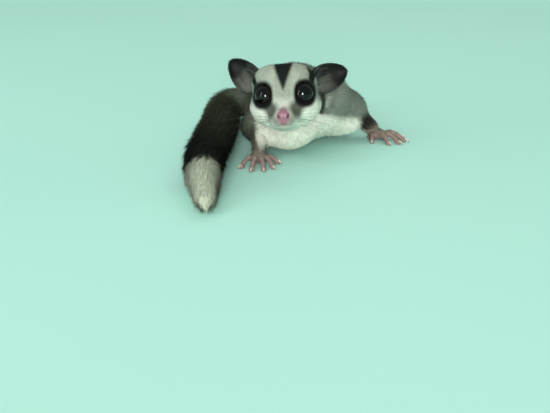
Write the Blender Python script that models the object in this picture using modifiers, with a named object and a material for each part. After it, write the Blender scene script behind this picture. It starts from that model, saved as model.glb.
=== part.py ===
"""A sugar glider at life size, crouching low on all fours with its face up and one hand out to its left.

+Z is up, the face looks along -Y and the animal's left is +X. The solids reach the tips of the coat.
The flesh is a smooth union of rounded masses, which is then parted into named pieces by thin cuts.
All the sizes below are in millimetres, and MM turns them into Blender's metres.
"""

import math

import bmesh
import bpy
import numpy as np
from mathutils import Matrix, Vector

MM = 0.001

# Driving dimensions
HEAD_HEIGHT = 31.0
HEAD_PITCH = 12.0
HEAD_YAW = 4.0
HEAD_ROLL = 4.0
EYE_RADIUS = 4.7
EAR_LENGTH = 19.6
EAR_WIDTH = 12.5
EAR_DEPTH = 8.6
EAR_TAPER = 0.23
EAR_THICKNESS = 1.2
# Each ear's lean above the level in degrees, its sweep back and its turn outward
EAR_SET_LEFT = (18.5, 0.60, 0.30)
EAR_SET_RIGHT = (45.5, 0.40, 0.20)
EYELID_REACH = 1.17
EYELID_ROUNDNESS = 1.1
TAIL_RADIUS = 9.8
DIGIT_RADIUS = 1.2
CLAW_RADIUS = 0.55

# How the pieces are made
GAP = 0.4
WIDE_GAP = 0.6
CELL_MARGIN = 1.3
FLAT = 0.2
SUNK = 0.25
SIDES = 16
BALL_SIDES = 24
BALL_RINGS = 16
BODY_BLEND = 7.0
HEAD_BLEND = 4.0
HOLLOW_BLEND = 1.5
PAW_BLEND = 1.6
BODY_VOXEL = 1.0
CELL_VOXEL = 1.0
PAW_VOXEL = 0.4
CUTTER_VOXEL = 0.6
BODY_TRIANGLES = 4000
TAIL_TRIANGLES = 1300
CELL_TRIANGLES = 220
CUTTER_TRIANGLES = 800
PAW_TRIANGLES = 420
SHARE_AFTER_CUTS = 0.36
SETTLE_STEPS = 5
STEP_PROBE = 0.02
LEAST_SLOPE = 0.2

# The pose: where each joint is, from the middle of the head over the floor
SHOULDER_LEFT, ELBOW_LEFT, WRIST_LEFT = (21, 32, 24), (31, 41, 16.5), (43, 46, 6.2)
SHOULDER_RIGHT, ELBOW_RIGHT, WRIST_RIGHT = (-7.5, 29, 21), (-13, 23.5, 12), (-11.5, 7, 6.2)
KNEE_LEFT, ANKLE_LEFT = (25, 54, 10), (19, 78, 6.5)
KNEE_RIGHT, ANKLE_RIGHT = (-13.5, 54, 10), (-10.5, 78, 6.5)
HAND_HEADING_LEFT, HAND_HEADING_RIGHT = -40.0, -88.0
FOOT_HEADING_LEFT, FOOT_HEADING_RIGHT = -84.0, -98.0

# The tail's line from the rump round to the front, each point with its share of TAIL_RADIUS
TAIL_ROUTE = (
    ((-9, 87, 11.4), 0.86),
    ((-19, 87, 9.8), 0.86),
    ((-27.5, 79, 9.0), 0.89),
    ((-30.5, 62, 9.2), 0.95),
    ((-30.5, 42, 9.8), 1.04),
    ((-31, 22, 9.8), 1.05),
    ((-32, 2, 9.8), 1.04),
    ((-33, -18, 9.4), 0.98),
    ((-32.5, -37, 8.4), 0.86),
    ((-31, -52, 6.8), 0.67),
    ((-30, -61, 5.0), 0.46),
)
TAIL_STEPS = 3
TAIL_CUTS = (2.33, 4.67, 8.33)

COLOURS = {
    "grey_fur": ((0.20, 0.21, 0.19), 0.9),
    "white_fur": ((0.72, 0.74, 0.62), 0.9),
    "dark_fur": ((0.025, 0.025, 0.02), 0.9),
    "ear_skin": ((0.11, 0.10, 0.09), 0.7),
    "pink_skin": ((0.50, 0.30, 0.28), 0.6),
    "nose_skin": ((0.52, 0.22, 0.24), 0.45),
    "eye": ((0.006, 0.006, 0.008), 0.04),
}


# Rounded masses, each of which knows its distance field and its own primitives


def array(points):
    """Points as an array of 64-bit numbers."""
    return np.array([tuple(p) for p in points], float)


class Ball:
    """An ellipsoid, turned by a rotation."""

    def __init__(self, centre, radii, turn=None):
        self.centre = np.array(centre, float)
        self.radii = np.array(radii, float)
        self.turn = np.identity(3) if turn is None else np.array(turn, float)

    def placed(self, matrix):
        turn = np.array(matrix.to_3x3()) @ self.turn
        return Ball(tuple(matrix @ Vector(self.centre)), self.radii, turn)

    def distance(self, points):
        own = (points - self.centre) @ self.turn
        near = np.linalg.norm(own / self.radii, axis=1)
        slope = np.linalg.norm(own / self.radii**2, axis=1)
        return near * (near - 1) / np.maximum(slope, 1e-6)

    def add_to(self, bm):
        shape = Matrix(self.turn).to_4x4() @ Matrix.Diagonal((*self.radii, 1))
        place = Matrix.Translation(self.centre) @ shape
        bmesh.ops.create_uvsphere(bm, u_segments=SIDES, v_segments=SIDES // 2, radius=1, matrix=place)


class Chain:
    """Round cones end to end through a row of points, with a radius at each point."""

    def __init__(self, points, radii):
        self.points = array(points)
        self.radii = np.array(radii, float)

    def placed(self, matrix):
        return Chain([matrix @ Vector(p) for p in self.points], self.radii)

    def distance(self, points):
        nearest = np.full(len(points), np.inf)
        for i in range(len(self.points) - 1):
            start, run = self.points[i], self.points[i + 1] - self.points[i]
            along = np.clip((points - start) @ run / (run @ run), 0, 1)
            radius = self.radii[i] + along * (self.radii[i + 1] - self.radii[i])
            off = np.linalg.norm(points - start - along[:, None] * run, axis=1) - radius
            nearest = np.minimum(nearest, off)
        return nearest

    def add_to(self, bm):
        for point, radius in zip(self.points, self.radii):
            Ball(point, (radius,) * 3).add_to(bm)
        for i in range(len(self.points) - 1):
            start, end = Vector(self.points[i]), Vector(self.points[i + 1])
            turn = (end - start).to_track_quat("Z", "Y").to_matrix().to_4x4()
            bmesh.ops.create_cone(
                bm,
                cap_ends=True,
                segments=SIDES,
                radius1=self.radii[i],
                radius2=self.radii[i + 1],
                depth=(end - start).length,
                matrix=Matrix.Translation((start + end) / 2) @ turn,
            )


def union_distance(points, masses, blend):
    """Distance to the smooth union, in which two masses run into each other over the blend's width."""
    total = masses[0].distance(points)
    for mass in masses[1:]:
        other = mass.distance(points)
        share = np.clip(0.5 + 0.5 * (other - total) / blend, 0, 1)
        total = other + (total - other) * share - blend * share * (1 - share)
    return total


def skin_distance(points, masses, blend, hollows):
    """Distance to the smooth union with some hollows pressed into it."""
    total = union_distance(points, masses, blend)
    for hollow in hollows:
        inside = hollow.distance(points)
        share = np.clip(0.5 + 0.5 * (total + inside) / HOLLOW_BLEND, 0, 1)
        total = -inside + (total + inside) * share + HOLLOW_BLEND * share * (1 - share)
    return total


def settle(points, masses, blend, grow, hollows):
    """Moves points onto the surface that stands grow outside the skin."""
    for _ in range(SETTLE_STEPS):
        here = skin_distance(points, masses, blend, hollows)
        slope = np.stack(
            [
                (skin_distance(points + step, masses, blend, hollows) - here) / STEP_PROBE
                for step in np.identity(3) * STEP_PROBE
            ],
            axis=1,
        )
        steep = np.maximum((slope**2).sum(axis=1), LEAST_SLOPE)
        points = points - slope * ((here - grow) / steep)[:, None]
    return points


# Blender objects


def add_object(name, mesh):
    obj = bpy.data.objects.new(name, mesh)
    MODEL.objects.link(obj)
    return obj


def applied(obj):
    """Bakes an object's modifiers into its mesh."""
    graph = bpy.context.evaluated_depsgraph_get()
    mesh = bpy.data.meshes.new_from_object(obj.evaluated_get(graph))
    obj.modifiers.clear()
    obj.data = mesh
    return obj


def mesh_points(mesh):
    flat = np.empty(len(mesh.vertices) * 3)
    mesh.vertices.foreach_get("co", flat)
    return flat.reshape(-1, 3)


def store_points(mesh, points):
    mesh.vertices.foreach_set("co", points.astype(np.float32).ravel())
    mesh.update()


def lightened(obj, share):
    """Leaves a mesh this share of its triangles."""
    decimate = obj.modifiers.new("Lighten", "DECIMATE")
    decimate.ratio = min(1.0, share)
    return applied(obj)


def fused(name, masses, blend, voxel, triangles, grow=0.0, floor=True, hollows=()):
    """One closed skin round the smooth union of some masses, flat where it would go below the floor."""
    bm = bmesh.new()
    for mass in masses:
        mass.add_to(bm)
    mesh = bpy.data.meshes.new(name)
    bm.to_mesh(mesh)
    bm.free()
    obj = add_object(name, mesh)
    remesh = obj.modifiers.new("Fuse", "REMESH")
    remesh.mode = "VOXEL"
    remesh.voxel_size = voxel
    applied(obj)
    points = settle(mesh_points(obj.data), masses, blend, grow, hollows)
    if floor:
        points[:, 2] = np.maximum(points[:, 2], 0)
    store_points(obj.data, points)
    return lightened(obj, triangles / (2 * len(obj.data.polygons)))


def largest_body(obj):
    """Drops the crumbs that a cut leaves."""
    bm = bmesh.new()
    bm.from_mesh(obj.data)
    unseen, bodies = set(bm.faces), []
    while unseen:
        body, edge = set(), [next(iter(unseen))]
        while edge:
            face = edge.pop()
            if face in body:
                continue
            body.add(face)
            edge.extend(other for side in face.edges for other in side.link_faces)
        unseen -= body
        bodies.append(body)
    keep = max(bodies, key=len)
    bmesh.ops.delete(bm, geom=[f for f in bm.faces if f not in keep], context="FACES")
    bmesh.ops.triangulate(bm, faces=bm.faces)
    bm.to_mesh(obj.data)
    bm.free()
    return obj


def combined(obj, cutter, operation):
    """Cuts a mesh. The exact solver leaves open edges between these round shapes, so this is the other."""
    boolean = obj.modifiers.new("Cut", "BOOLEAN")
    boolean.operation = operation
    boolean.solver = "MANIFOLD"
    boolean.object = cutter
    return largest_body(applied(obj))


def copied(obj, name):
    return add_object(name, obj.data.copy())


def grown(obj, by=GAP):
    """A copy whose skin stands further out, as a cutter that leaves a gap."""
    copy = copied(obj, obj.name + ".cutter")
    normals = np.empty(len(copy.data.vertices) * 3)
    copy.data.vertices.foreach_get("normal", normals)
    store_points(copy.data, mesh_points(copy.data) + by * normals.reshape(-1, 3))
    return copy


def removed(*objects):
    for obj in objects:
        bpy.data.objects.remove(obj)


def cutter_of(masses, blend, voxel, triangles):
    """A cutter that leaves a gap all round what some masses fill."""
    return fused("cutter", masses, blend, voxel, triangles, WIDE_GAP, floor=False)


def carved(body, name, cell):
    """Takes the part of the body inside a cell out as its own piece, with a gap all round."""
    piece = combined(copied(body, name), cell, "INTERSECT")
    wider = grown(cell)
    combined(body, wider, "DIFFERENCE")
    removed(cell, wider)
    return piece


def halved(obj, name, point, normal):
    """Parts an object by a thin flat cut. The side that the normal points to takes the new name."""
    front = copied(obj, name)
    normal = Vector(normal).normalized()
    for half, side in ((obj, 1), (front, -1)):
        bm = bmesh.new()
        bm.from_mesh(half.data)
        bmesh.ops.bisect_plane(
            bm,
            geom=[*bm.verts, *bm.edges, *bm.faces],
            dist=1e-4,
            plane_co=Vector(point) - normal * (side * GAP / 2),
            plane_no=normal * side,
            clear_outer=True,
        )
        rim = [e for e in bm.edges if e.is_boundary]
        bmesh.ops.holes_fill(bm, edges=rim)
        bmesh.ops.recalc_face_normals(bm, faces=bm.faces)
        bm.to_mesh(half.data)
        bm.free()
        largest_body(half)
    return front


# The animal's masses


def head_place():
    """From the head's own frame, whose -Y is the line of the muzzle, to the floor's."""
    yaw = Matrix.Rotation(math.radians(-HEAD_YAW), 4, "Z")
    pitch = Matrix.Rotation(math.radians(-HEAD_PITCH), 4, "X")
    roll = Matrix.Rotation(math.radians(-HEAD_ROLL), 4, "Y")
    return Matrix.Translation((0, 0, HEAD_HEIGHT)) @ yaw @ pitch @ roll


def eye_centre(side):
    return Vector((side * 7.6, -7.7, 0.1))


def eye_gaze(side):
    return Vector((side * 0.46, -0.87, 0.18)).normalized()


def head_masses():
    masses = [
        Ball((0, 4, 0.5), (14.0, 17.5, 12.8)),
        Chain([(0, -8, -4), (0, -17.2, -8.4)], [8.2, 4.0]),
        Chain([(0, -3, -8.2), (0, -14.2, -11.3)], [5.8, 2.8]),
        Ball((0, -19.6, -8.4), (2.5, 2.0, 2.2)),
    ]
    for side in (1, -1):
        masses += [
            Ball((side * 5, 3, 5.3), (8.6, 14, 7.9)),
            Ball((side * 7.6, -1.5, -4.4), (8.2, 11.5, 7.2)),
            Ball((side * 2.9, -14.8, -9.6), (3.4, 4.6, 3.0)),
            Ball(eye_centre(side) - 1.9 * eye_gaze(side), (5.9, 5.9, 5.9)),
        ]
    return [mass.placed(head_place()) for mass in masses]


def orbit_masses():
    """What is pressed out of the head in front of each eye, so that its lids stand round it."""
    reach, radius = EYELID_REACH * EYE_RADIUS, EYELID_ROUNDNESS * EYE_RADIUS
    return [
        Ball(eye_centre(side) + reach * eye_gaze(side), (radius,) * 3).placed(head_place())
        for side in (1, -1)
    ]


def trunk_masses():
    return [
        Chain([(0, 11, 28.5), (4, 27, 23.5)], [13.0, 15.0]),
        Ball((1.5, 16.5, 13.4), (14.5, 11.8, 12)),
        Ball((7.5, 32, 17.6), (21.5, 18.5, 16.4)),
        Ball((25, 37, 11.5), (10.5, 9, 8)),
        Ball((6, 42, 22), (15, 17, 12.4)),
        Ball((6.5, 52, 17.8), (21.5, 25, 16.4)),
        Ball((6, 74, 16.8), (19.5, 20, 15.8)),
        Chain([(1, 82, 14.0), (-9, 87, 11.6)], [11, 8.8]),
    ]


def limb_masses():
    """The folded gliding membrane of each flank, then the lower and upper part of each leg."""
    return {
        "membrane_left": [Chain([(34, 50, 9), (29, 53, 9), (26.5, 60, 8.5)], [3.0, 3.4, 3.0])],
        "membrane_right": [Chain([(-12, 34, 10), (-14, 41, 9.2), (-14.5, 48, 8.5)], [3.6, 3.4, 3.0])],
        "forearm_left": [Chain([ELBOW_LEFT, WRIST_LEFT], [6.4, 3.6])],
        "forearm_right": [Chain([ELBOW_RIGHT, WRIST_RIGHT], [5.2, 3.5])],
        "upper_arm_left": [Chain([SHOULDER_LEFT, ELBOW_LEFT], [10.0, 6.9])],
        "upper_arm_right": [Chain([SHOULDER_RIGHT, ELBOW_RIGHT], [8.6, 5.8])],
        "shin_left": [Chain([KNEE_LEFT, ANKLE_LEFT], [6.4, 4.6])],
        "shin_right": [Chain([KNEE_RIGHT, ANKLE_RIGHT], [6.4, 4.6])],
        "thigh_left": [Ball((20.5, 66, 15.2), (10.2, 17.5, 13.4))],
        "thigh_right": [Ball((-9.8, 66, 15.2), (9.2, 17, 13.0))],
    }


def rounded(rows, steps):
    """Rows of numbers read from a smooth curve through the given ones, with this many steps to each."""
    rows = array(rows)
    ends = np.concatenate([2 * rows[:1] - rows[1:2], rows, 2 * rows[-1:] - rows[-2:-1]])
    smooth = []
    for before, start, end, after in zip(ends, ends[1:], ends[2:], ends[3:]):
        for t in np.arange(steps) / steps:
            smooth.append(
                start
                + 0.5 * t * (end - before)
                + t**2 * (before - 2.5 * start + 2 * end - 0.5 * after)
                + t**3 * (1.5 * (start - end) + 0.5 * (after - before))
            )
    return np.array([*smooth, rows[-1]])


def tail_mass():
    rows = rounded([(*point, share * TAIL_RADIUS) for point, share in TAIL_ROUTE], TAIL_STEPS)
    return Chain(rows[:, :3], rows[:, 3])


def digit_masses(start, angle, length, knuckle, claw, width=DIGIT_RADIUS):
    """A finger or toe that arches from the palm to its tip, with its claw."""
    heading = Vector((math.sin(math.radians(angle)), math.cos(math.radians(angle)), 0))

    def at(share, height):
        return Vector((*start, 0)) + heading * (length * share) + Vector((0, 0, height))

    bones = [at(0, 2.7), at(0.38, knuckle), at(0.74, 0.72 * knuckle), at(1.0, 1.2)]
    masses = [Chain(bones, [1.1 * width, width, 0.9 * width, 0.95 * width])]
    if claw:
        reach = claw / length
        hook = [at(0.96, 1.75), at(1 + 0.6 * reach, 1.6), at(1 + reach, 0.55)]
        masses.append(Chain(hook, [CLAW_RADIUS, 0.8 * CLAW_RADIUS, 0.55 * CLAW_RADIUS]))
    return masses


# Each digit: where it leaves the palm, the angle it spreads at, its length, knuckle height and claw
HAND_DIGITS = (
    ((2.7, 2.6), 58, 6.6, 3.0, 1.8),
    ((2.3, 6.0), 24, 8.6, 3.9, 2.2),
    ((0.8, 7.0), 5, 10.0, 4.1, 2.3),
    ((-1.0, 6.9), -14, 10.2, 4.1, 2.3),
    ((-2.7, 5.2), -37, 8.6, 3.7, 2.2),
)
FOOT_DIGITS = (
    ((2.6, 6.5), 72, 6.4, 2.8, 0),
    ((2.0, 11.0), 15, 7.6, 3.0, 1.8),
    ((0.6, 11.8), 6, 8.0, 3.2, 1.8),
    ((-1.1, 11.8), -9, 10.2, 3.6, 2.2),
    ((-2.7, 10.2), -28, 9.2, 3.4, 2.2),
)


def hand_masses():
    masses = [
        Ball((0, 3.8, 2.9), (4.2, 4.9, 2.9)),
        Chain([(0, -3.0, 6.0), (0, 2.5, 3.6)], [3.3, 2.9]),
    ]
    for digit in HAND_DIGITS:
        masses += digit_masses(*digit)
    return masses


def foot_masses():
    masses = [
        Ball((0, 0.5, 3.2), (3.4, 4.2, 3.2)),
        Ball((0, 7.5, 2.7), (3.9, 6.6, 2.7)),
    ]
    for digit in FOOT_DIGITS:
        masses += digit_masses(*digit)
    return masses


def paw_masses():
    """Each paw's masses in its place."""
    hand, foot = hand_masses(), foot_masses()
    places = {
        "hand_left": (hand, paw_place(WRIST_LEFT, HAND_HEADING_LEFT, 1)),
        "hand_right": (hand, paw_place(WRIST_RIGHT, HAND_HEADING_RIGHT, -1)),
        "foot_left": (foot, paw_place(ANKLE_LEFT, FOOT_HEADING_LEFT, 1)),
        "foot_right": (foot, paw_place(ANKLE_RIGHT, FOOT_HEADING_RIGHT, -1)),
    }
    return {name: [mass.placed(place) for mass in masses] for name, (masses, place) in places.items()}


def paw_place(point, heading, side):
    """Sets a paw on the floor under a joint. The first digit lies on the inner side of either paw."""
    turn = Matrix.Rotation(math.radians(heading - 90), 4, "Z")
    mirror = Matrix.Diagonal((side, 1, 1, 1))
    return Matrix.Translation((point[0], point[1], -SUNK)) @ turn @ mirror


# The pieces


def make_ear(name, side, lean, sweep, turned):
    """A cupped leaf: half of a hollow ellipsoid, open to the front, with its root in the head."""
    lean = math.radians(lean)
    along = Vector((side * math.cos(lean), sweep, math.sin(lean))).normalized()
    facing = Vector((side * turned, -0.95, 0.02))
    facing = (facing - along * facing.dot(along)).normalized()
    across = along.cross(facing)
    root = Vector((side * 12.9, 4.4, 4.7))
    turn = Matrix((across, along, facing)).transposed().to_4x4()
    centre = root + along * (0.40 * EAR_LENGTH)
    place = head_place() @ Matrix.Translation(centre) @ turn
    bm = bmesh.new()
    bmesh.ops.create_uvsphere(bm, u_segments=BALL_SIDES, v_segments=BALL_RINGS, radius=1)
    front = [vert for vert in bm.verts if vert.co.z > 1e-4]
    bmesh.ops.delete(bm, geom=front, context="VERTS")
    for vert in bm.verts:
        vert.co.x *= 1 - EAR_TAPER * vert.co.y
    shape = Matrix.Diagonal((EAR_WIDTH / 2, EAR_LENGTH / 2, EAR_DEPTH / 2, 1))
    bmesh.ops.transform(bm, matrix=place @ shape, verts=bm.verts)
    mesh = bpy.data.meshes.new(name)
    bm.to_mesh(mesh)
    bm.free()
    ear = add_object(name, mesh)
    solid = ear.modifiers.new("Thickness", "SOLIDIFY")
    solid.thickness = EAR_THICKNESS
    solid.offset = -1
    applied(ear)
    bm = bmesh.new()
    bm.from_mesh(ear.data)
    bmesh.ops.recalc_face_normals(bm, faces=bm.faces)
    bm.to_mesh(ear.data)
    bm.free()
    return ear


def make_eye(name, side, radius):
    mesh = bpy.data.meshes.new(name)
    bm = bmesh.new()
    centre = head_place() @ eye_centre(side)
    bmesh.ops.create_uvsphere(
        bm,
        u_segments=BALL_SIDES,
        v_segments=BALL_RINGS,
        radius=radius,
        matrix=Matrix.Translation(centre),
    )
    bm.to_mesh(mesh)
    bm.free()
    return add_object(name, mesh)


def body_masses():
    """All but the tail and the paws."""
    limbs = [mass for masses in limb_masses().values() for mass in masses]
    return [*trunk_masses(), *limbs, *head_masses()]


def make_body():
    """The whole body without its tail, paws, ears and eyes, and with room for the paws."""
    body = fused(
        "abdomen",
        body_masses(),
        HEAD_BLEND,
        BODY_VOXEL,
        BODY_TRIANGLES,
        hollows=orbit_masses(),
    )
    for paw in paw_masses().values():
        cutter = cutter_of(paw, PAW_BLEND, CUTTER_VOXEL, CUTTER_TRIANGLES)
        combined(body, cutter, "DIFFERENCE")
        removed(cutter)
    return body


def part_limbs(body):
    """Carves each part of a leg, and each fold of membrane, out of the body."""
    pieces = {}
    for name, masses in limb_masses().items():
        cell = fused(
            name + ".cell", masses, BODY_BLEND, CELL_VOXEL, CELL_TRIANGLES, CELL_MARGIN, floor=False
        )
        pieces[name] = carved(body, name, cell)
    return pieces


def make_tail(cutter):
    """The tail in lengths, from the rump to the white tip, cut back from the body."""
    route = tail_mass()
    rest = fused("tail_base", [route], HEAD_BLEND, BODY_VOXEL, TAIL_TRIANGLES)
    combined(rest, cutter, "DIFFERENCE")
    pieces = {"tail_base": rest}
    for name, place in zip(("tail_middle", "tail_dark_end", "tail_white_tip"), TAIL_CUTS):
        i = round(place * TAIL_STEPS)
        run = route.points[i + 1] - route.points[i]
        pieces[name] = rest = halved(rest, name, route.points[i], run)
    return pieces


def part_trunk(body):
    """Cuts head, neck, chest and abdomen apart across the spine."""
    chest = halved(body, "chest", (6, 55, 20), (0, -1, 0))
    neck = halved(chest, "neck", (5, 26, 22), (0, -0.9, 0.43))
    head = halved(neck, "head", (2, 14, 28), (0, -0.8, 0.6))
    return {"chest": chest, "neck": neck, "head": head}


def make_animal():
    body = make_body()
    beside = cutter_of(body_masses(), HEAD_BLEND, BODY_VOXEL, BODY_TRIANGLES)
    pieces = {"abdomen": body, **part_limbs(body), **make_tail(beside), **part_trunk(body)}
    head = pieces["head"]
    nose = [Ball((0, -20.6, -8.6), (2.7, 2.6, 2.6)).placed(head_place())]
    cell = fused("nose.cell", nose, HEAD_BLEND, CUTTER_VOXEL, CELL_TRIANGLES, floor=False)
    pieces["nose"] = carved(head, "nose", cell)
    for name, side, set_of_ear in (("left", 1, EAR_SET_LEFT), ("right", -1, EAR_SET_RIGHT)):
        socket = make_eye("socket", side, EYE_RADIUS + GAP)
        combined(head, socket, "DIFFERENCE")
        removed(socket)
        pieces["eye_" + name] = make_eye("eye_" + name, side, EYE_RADIUS)
        pieces["ear_" + name] = combined(make_ear("ear_" + name, side, *set_of_ear), beside, "DIFFERENCE")
    removed(beside)
    for piece in pieces.values():
        lightened(piece, SHARE_AFTER_CUTS)
    for name, masses in paw_masses().items():
        pieces[name] = fused(name, masses, PAW_BLEND, PAW_VOXEL, PAW_TRIANGLES)
    return pieces


def dress(pieces):
    """Gives each piece a material of its own from the coat's colours."""
    kinds = {
        "neck": "white_fur",
        "tail_white_tip": "white_fur",
        "tail_middle": "dark_fur",
        "tail_dark_end": "dark_fur",
        "nose": "nose_skin",
    }
    prefixes = {"ear": "ear_skin", "eye": "eye", "hand": "pink_skin", "foot": "pink_skin"}
    for name, obj in pieces.items():
        kind = kinds.get(name) or prefixes.get(name.split("_")[0], "grey_fur")
        colour, roughness = COLOURS[kind]
        material = bpy.data.materials.new(name)
        material.use_nodes = True
        shader = material.node_tree.nodes["Principled BSDF"]
        shader.inputs["Base Color"].default_value = (*colour, 1)
        shader.inputs["Roughness"].default_value = roughness
        shader.inputs["Metallic"].default_value = 0
        obj.data.materials.clear()
        obj.data.materials.append(material)
        obj.data.shade_smooth()


def set_down(pieces):
    """Puts the middle of the animal's footprint at the origin, in metres, and makes its soles flat."""
    every = np.concatenate([mesh_points(obj.data) for obj in pieces.values()])
    middle = (every.min(axis=0) + every.max(axis=0)) / 2
    for obj in pieces.values():
        moved = mesh_points(obj.data) - (middle[0], middle[1], 0)
        moved[moved[:, 2] < FLAT, 2] = 0
        store_points(obj.data, moved * MM)


for old in list(bpy.data.objects):
    bpy.data.objects.remove(old)
MODEL = bpy.data.collections.new("sugar_glider")
bpy.context.scene.collection.children.link(MODEL)
PIECES = make_animal()
dress(PIECES)
set_down(PIECES)
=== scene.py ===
"""The looks of a life-size sugar glider: one skin, its coat in tufts, eyes, nose, claws and whiskers.

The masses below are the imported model's own, in millimetres and in the frame they were designed in.
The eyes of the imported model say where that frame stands, and MM turns it all into metres.
"""

import math

import bmesh
import bpy
import numpy as np
from mathutils import Matrix, Vector


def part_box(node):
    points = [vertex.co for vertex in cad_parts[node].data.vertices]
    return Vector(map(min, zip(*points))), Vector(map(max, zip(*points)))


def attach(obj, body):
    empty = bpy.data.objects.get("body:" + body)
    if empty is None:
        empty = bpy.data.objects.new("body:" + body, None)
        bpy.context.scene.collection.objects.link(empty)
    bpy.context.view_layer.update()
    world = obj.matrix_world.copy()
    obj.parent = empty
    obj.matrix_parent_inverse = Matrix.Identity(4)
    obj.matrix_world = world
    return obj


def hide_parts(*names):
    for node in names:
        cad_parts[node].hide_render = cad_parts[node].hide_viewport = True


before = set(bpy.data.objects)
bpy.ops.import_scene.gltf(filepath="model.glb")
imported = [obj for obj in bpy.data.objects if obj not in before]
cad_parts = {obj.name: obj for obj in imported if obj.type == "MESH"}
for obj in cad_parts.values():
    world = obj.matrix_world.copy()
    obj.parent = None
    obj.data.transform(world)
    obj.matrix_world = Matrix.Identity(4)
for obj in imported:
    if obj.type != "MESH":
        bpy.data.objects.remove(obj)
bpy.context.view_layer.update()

MM = 0.001
RANDOM = np.random.default_rng(7)

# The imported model's driving dimensions
HEAD_HEIGHT = 31.0
HEAD_PITCH = 12.0
HEAD_YAW = 4.0
HEAD_ROLL = 4.0
EYE_RADIUS = 4.7
EAR_LENGTH = 19.6
EAR_WIDTH = 12.5
EAR_DEPTH = 8.6
EAR_TAPER = 0.23
# Each ear's lean above the level in degrees, its sweep back and its turn outward
EAR_SET = {1: (18.5, 0.60, 0.30), -1: (45.5, 0.40, 0.20)}
TAIL_RADIUS = 9.8
DIGIT_RADIUS = 1.2
SUNK = 0.25
HEAD_BLEND = 4.0
BODY_BLEND = 7.0
PAW_BLEND = 1.6
SHOULDER_LEFT, ELBOW_LEFT, WRIST_LEFT = (21, 32, 24), (31, 41, 16.5), (43, 46, 6.2)
SHOULDER_RIGHT, ELBOW_RIGHT, WRIST_RIGHT = (-7.5, 29, 21), (-13, 23.5, 12), (-11.5, 7, 6.2)
KNEE_LEFT, ANKLE_LEFT = (25, 54, 10), (19, 78, 6.5)
KNEE_RIGHT, ANKLE_RIGHT = (-13.5, 54, 10), (-10.5, 78, 6.5)
HAND_HEADING_LEFT, HAND_HEADING_RIGHT = -40.0, -88.0
FOOT_HEADING_LEFT, FOOT_HEADING_RIGHT = -84.0, -98.0
TAIL_ROUTE = (
    ((-9, 87, 11.4), 0.86),
    ((-19, 87, 9.8), 0.86),
    ((-27.5, 79, 9.0), 0.89),
    ((-30.5, 62, 9.2), 0.95),
    ((-30.5, 42, 9.8), 1.04),
    ((-31, 22, 9.8), 1.05),
    ((-32, 2, 9.8), 1.04),
    ((-33, -18, 9.4), 0.98),
    ((-32.5, -37, 8.4), 0.86),
    ((-31, -52, 6.8), 0.67),
    ((-30, -61, 5.0), 0.46),
)
WHITE_TIP_FROM = 8.33

# How deep the skin lies under the tips of the coat
HEAD_DEPTH = 1.3
FACE_DEPTH = 0.5
THROAT_DEPTH = 2.2
TRUNK_DEPTH = 2.8
LIMB_DEPTH = 1.7
TAIL_CORE = 0.5

# How finely the skin is made
ROUGH = 1.0
HEAD_VOXEL = 0.365 * ROUGH
TRUNK_VOXEL = 0.9 * ROUGH
PAW_VOXEL = 0.3 * ROUGH
SIDES = 16
SETTLE_STEPS = 5
STEP_PROBE = 0.02
TUCK = 1.2

# The coat: each region's length, width, lift from the skin and tufts to a square millimetre
COAT = {
    "head": (3.2, 0.24, 19, 12.0),
    "trunk": (7.2, 0.37, 20, 5.6),
    "upper_arm": (5.2, 0.34, 21, 6.4),
    "forearm": (3.9, 0.30, 20, 8.0),
    "thigh": (6.8, 0.37, 21, 5.4),
    "shin": (4.0, 0.32, 20, 6.0),
    "membrane": (4.4, 0.32, 18, 6.4),
    "tail": (12.0, 0.38, 22, 7.8),
    "ear": (1.3, 0.15, 14, 8.0),
    "paw": (2.4, 0.20, 14, 7.0),
}
TUFTS_A_PIECE = 18000
UV_PATCH = 0.003
# How much darker the skin is painted where the coat covers it: painted shade under the tufts
UNDER_FUR_SHADE = 0.2
EAR_HAIRS = 1.6
EAR_HAIR_SIZE = (3.4, 0.1, 15)


def srgb(red, green, blue):
    """A linear colour from screen values of 0 to 255."""
    return np.array([(v / 255 / 12.92) if v < 10.3 else ((v / 255 + 0.055) / 1.055) ** 2.4 for v in (red, green, blue)])


CREAM = srgb(238, 241, 224)
CHEST = srgb(221, 225, 207)
PALE = srgb(174, 182, 164)
GREY = srgb(124, 133, 121)
SLATE = srgb(96, 104, 94)
OLIVE = srgb(72, 76, 58)
BROWN = srgb(40, 38, 33)
DARK = srgb(29, 34, 29)
BLACK = srgb(10, 12, 11)
TAN = srgb(140, 132, 116)
PINK = srgb(142, 118, 114)
NOSE_PINK = srgb(144, 100, 112)
MUZZLE = srgb(150, 142, 132)
# Painted shade in the nostrils' shallow hollows
NOSTRIL_SHADE = srgb(92, 46, 56)
SMUDGE = srgb(76, 78, 68)
EAR_INSIDE = srgb(98, 100, 93)
EAR_HAIR = srgb(150, 152, 140)
EAR_BACK = srgb(11, 13, 13)
TAIL_WHITE = srgb(204, 211, 188)


# Rounded masses and their distance fields


def array(points):
    return np.array([tuple(p) for p in points], float)


def unit(vectors):
    return vectors / np.maximum(np.linalg.norm(vectors, axis=-1, keepdims=True), 1e-9)


def ramp(value, low, high):
    """0 below low and 1 above high, with a smooth step between."""
    share = np.clip((value - low) / (high - low), 0, 1)
    return share * share * (3 - 2 * share)


def blended(first, second, width):
    """The nearer of two distances, run into each other over a width."""
    share = np.clip(0.5 + 0.5 * (second - first) / width, 0, 1)
    return second + (first - second) * share - width * share * (1 - share)


def pressed(field, hollow, width):
    """A field with a hollow taken out of it."""
    return -blended(-field, hollow, width)


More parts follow.
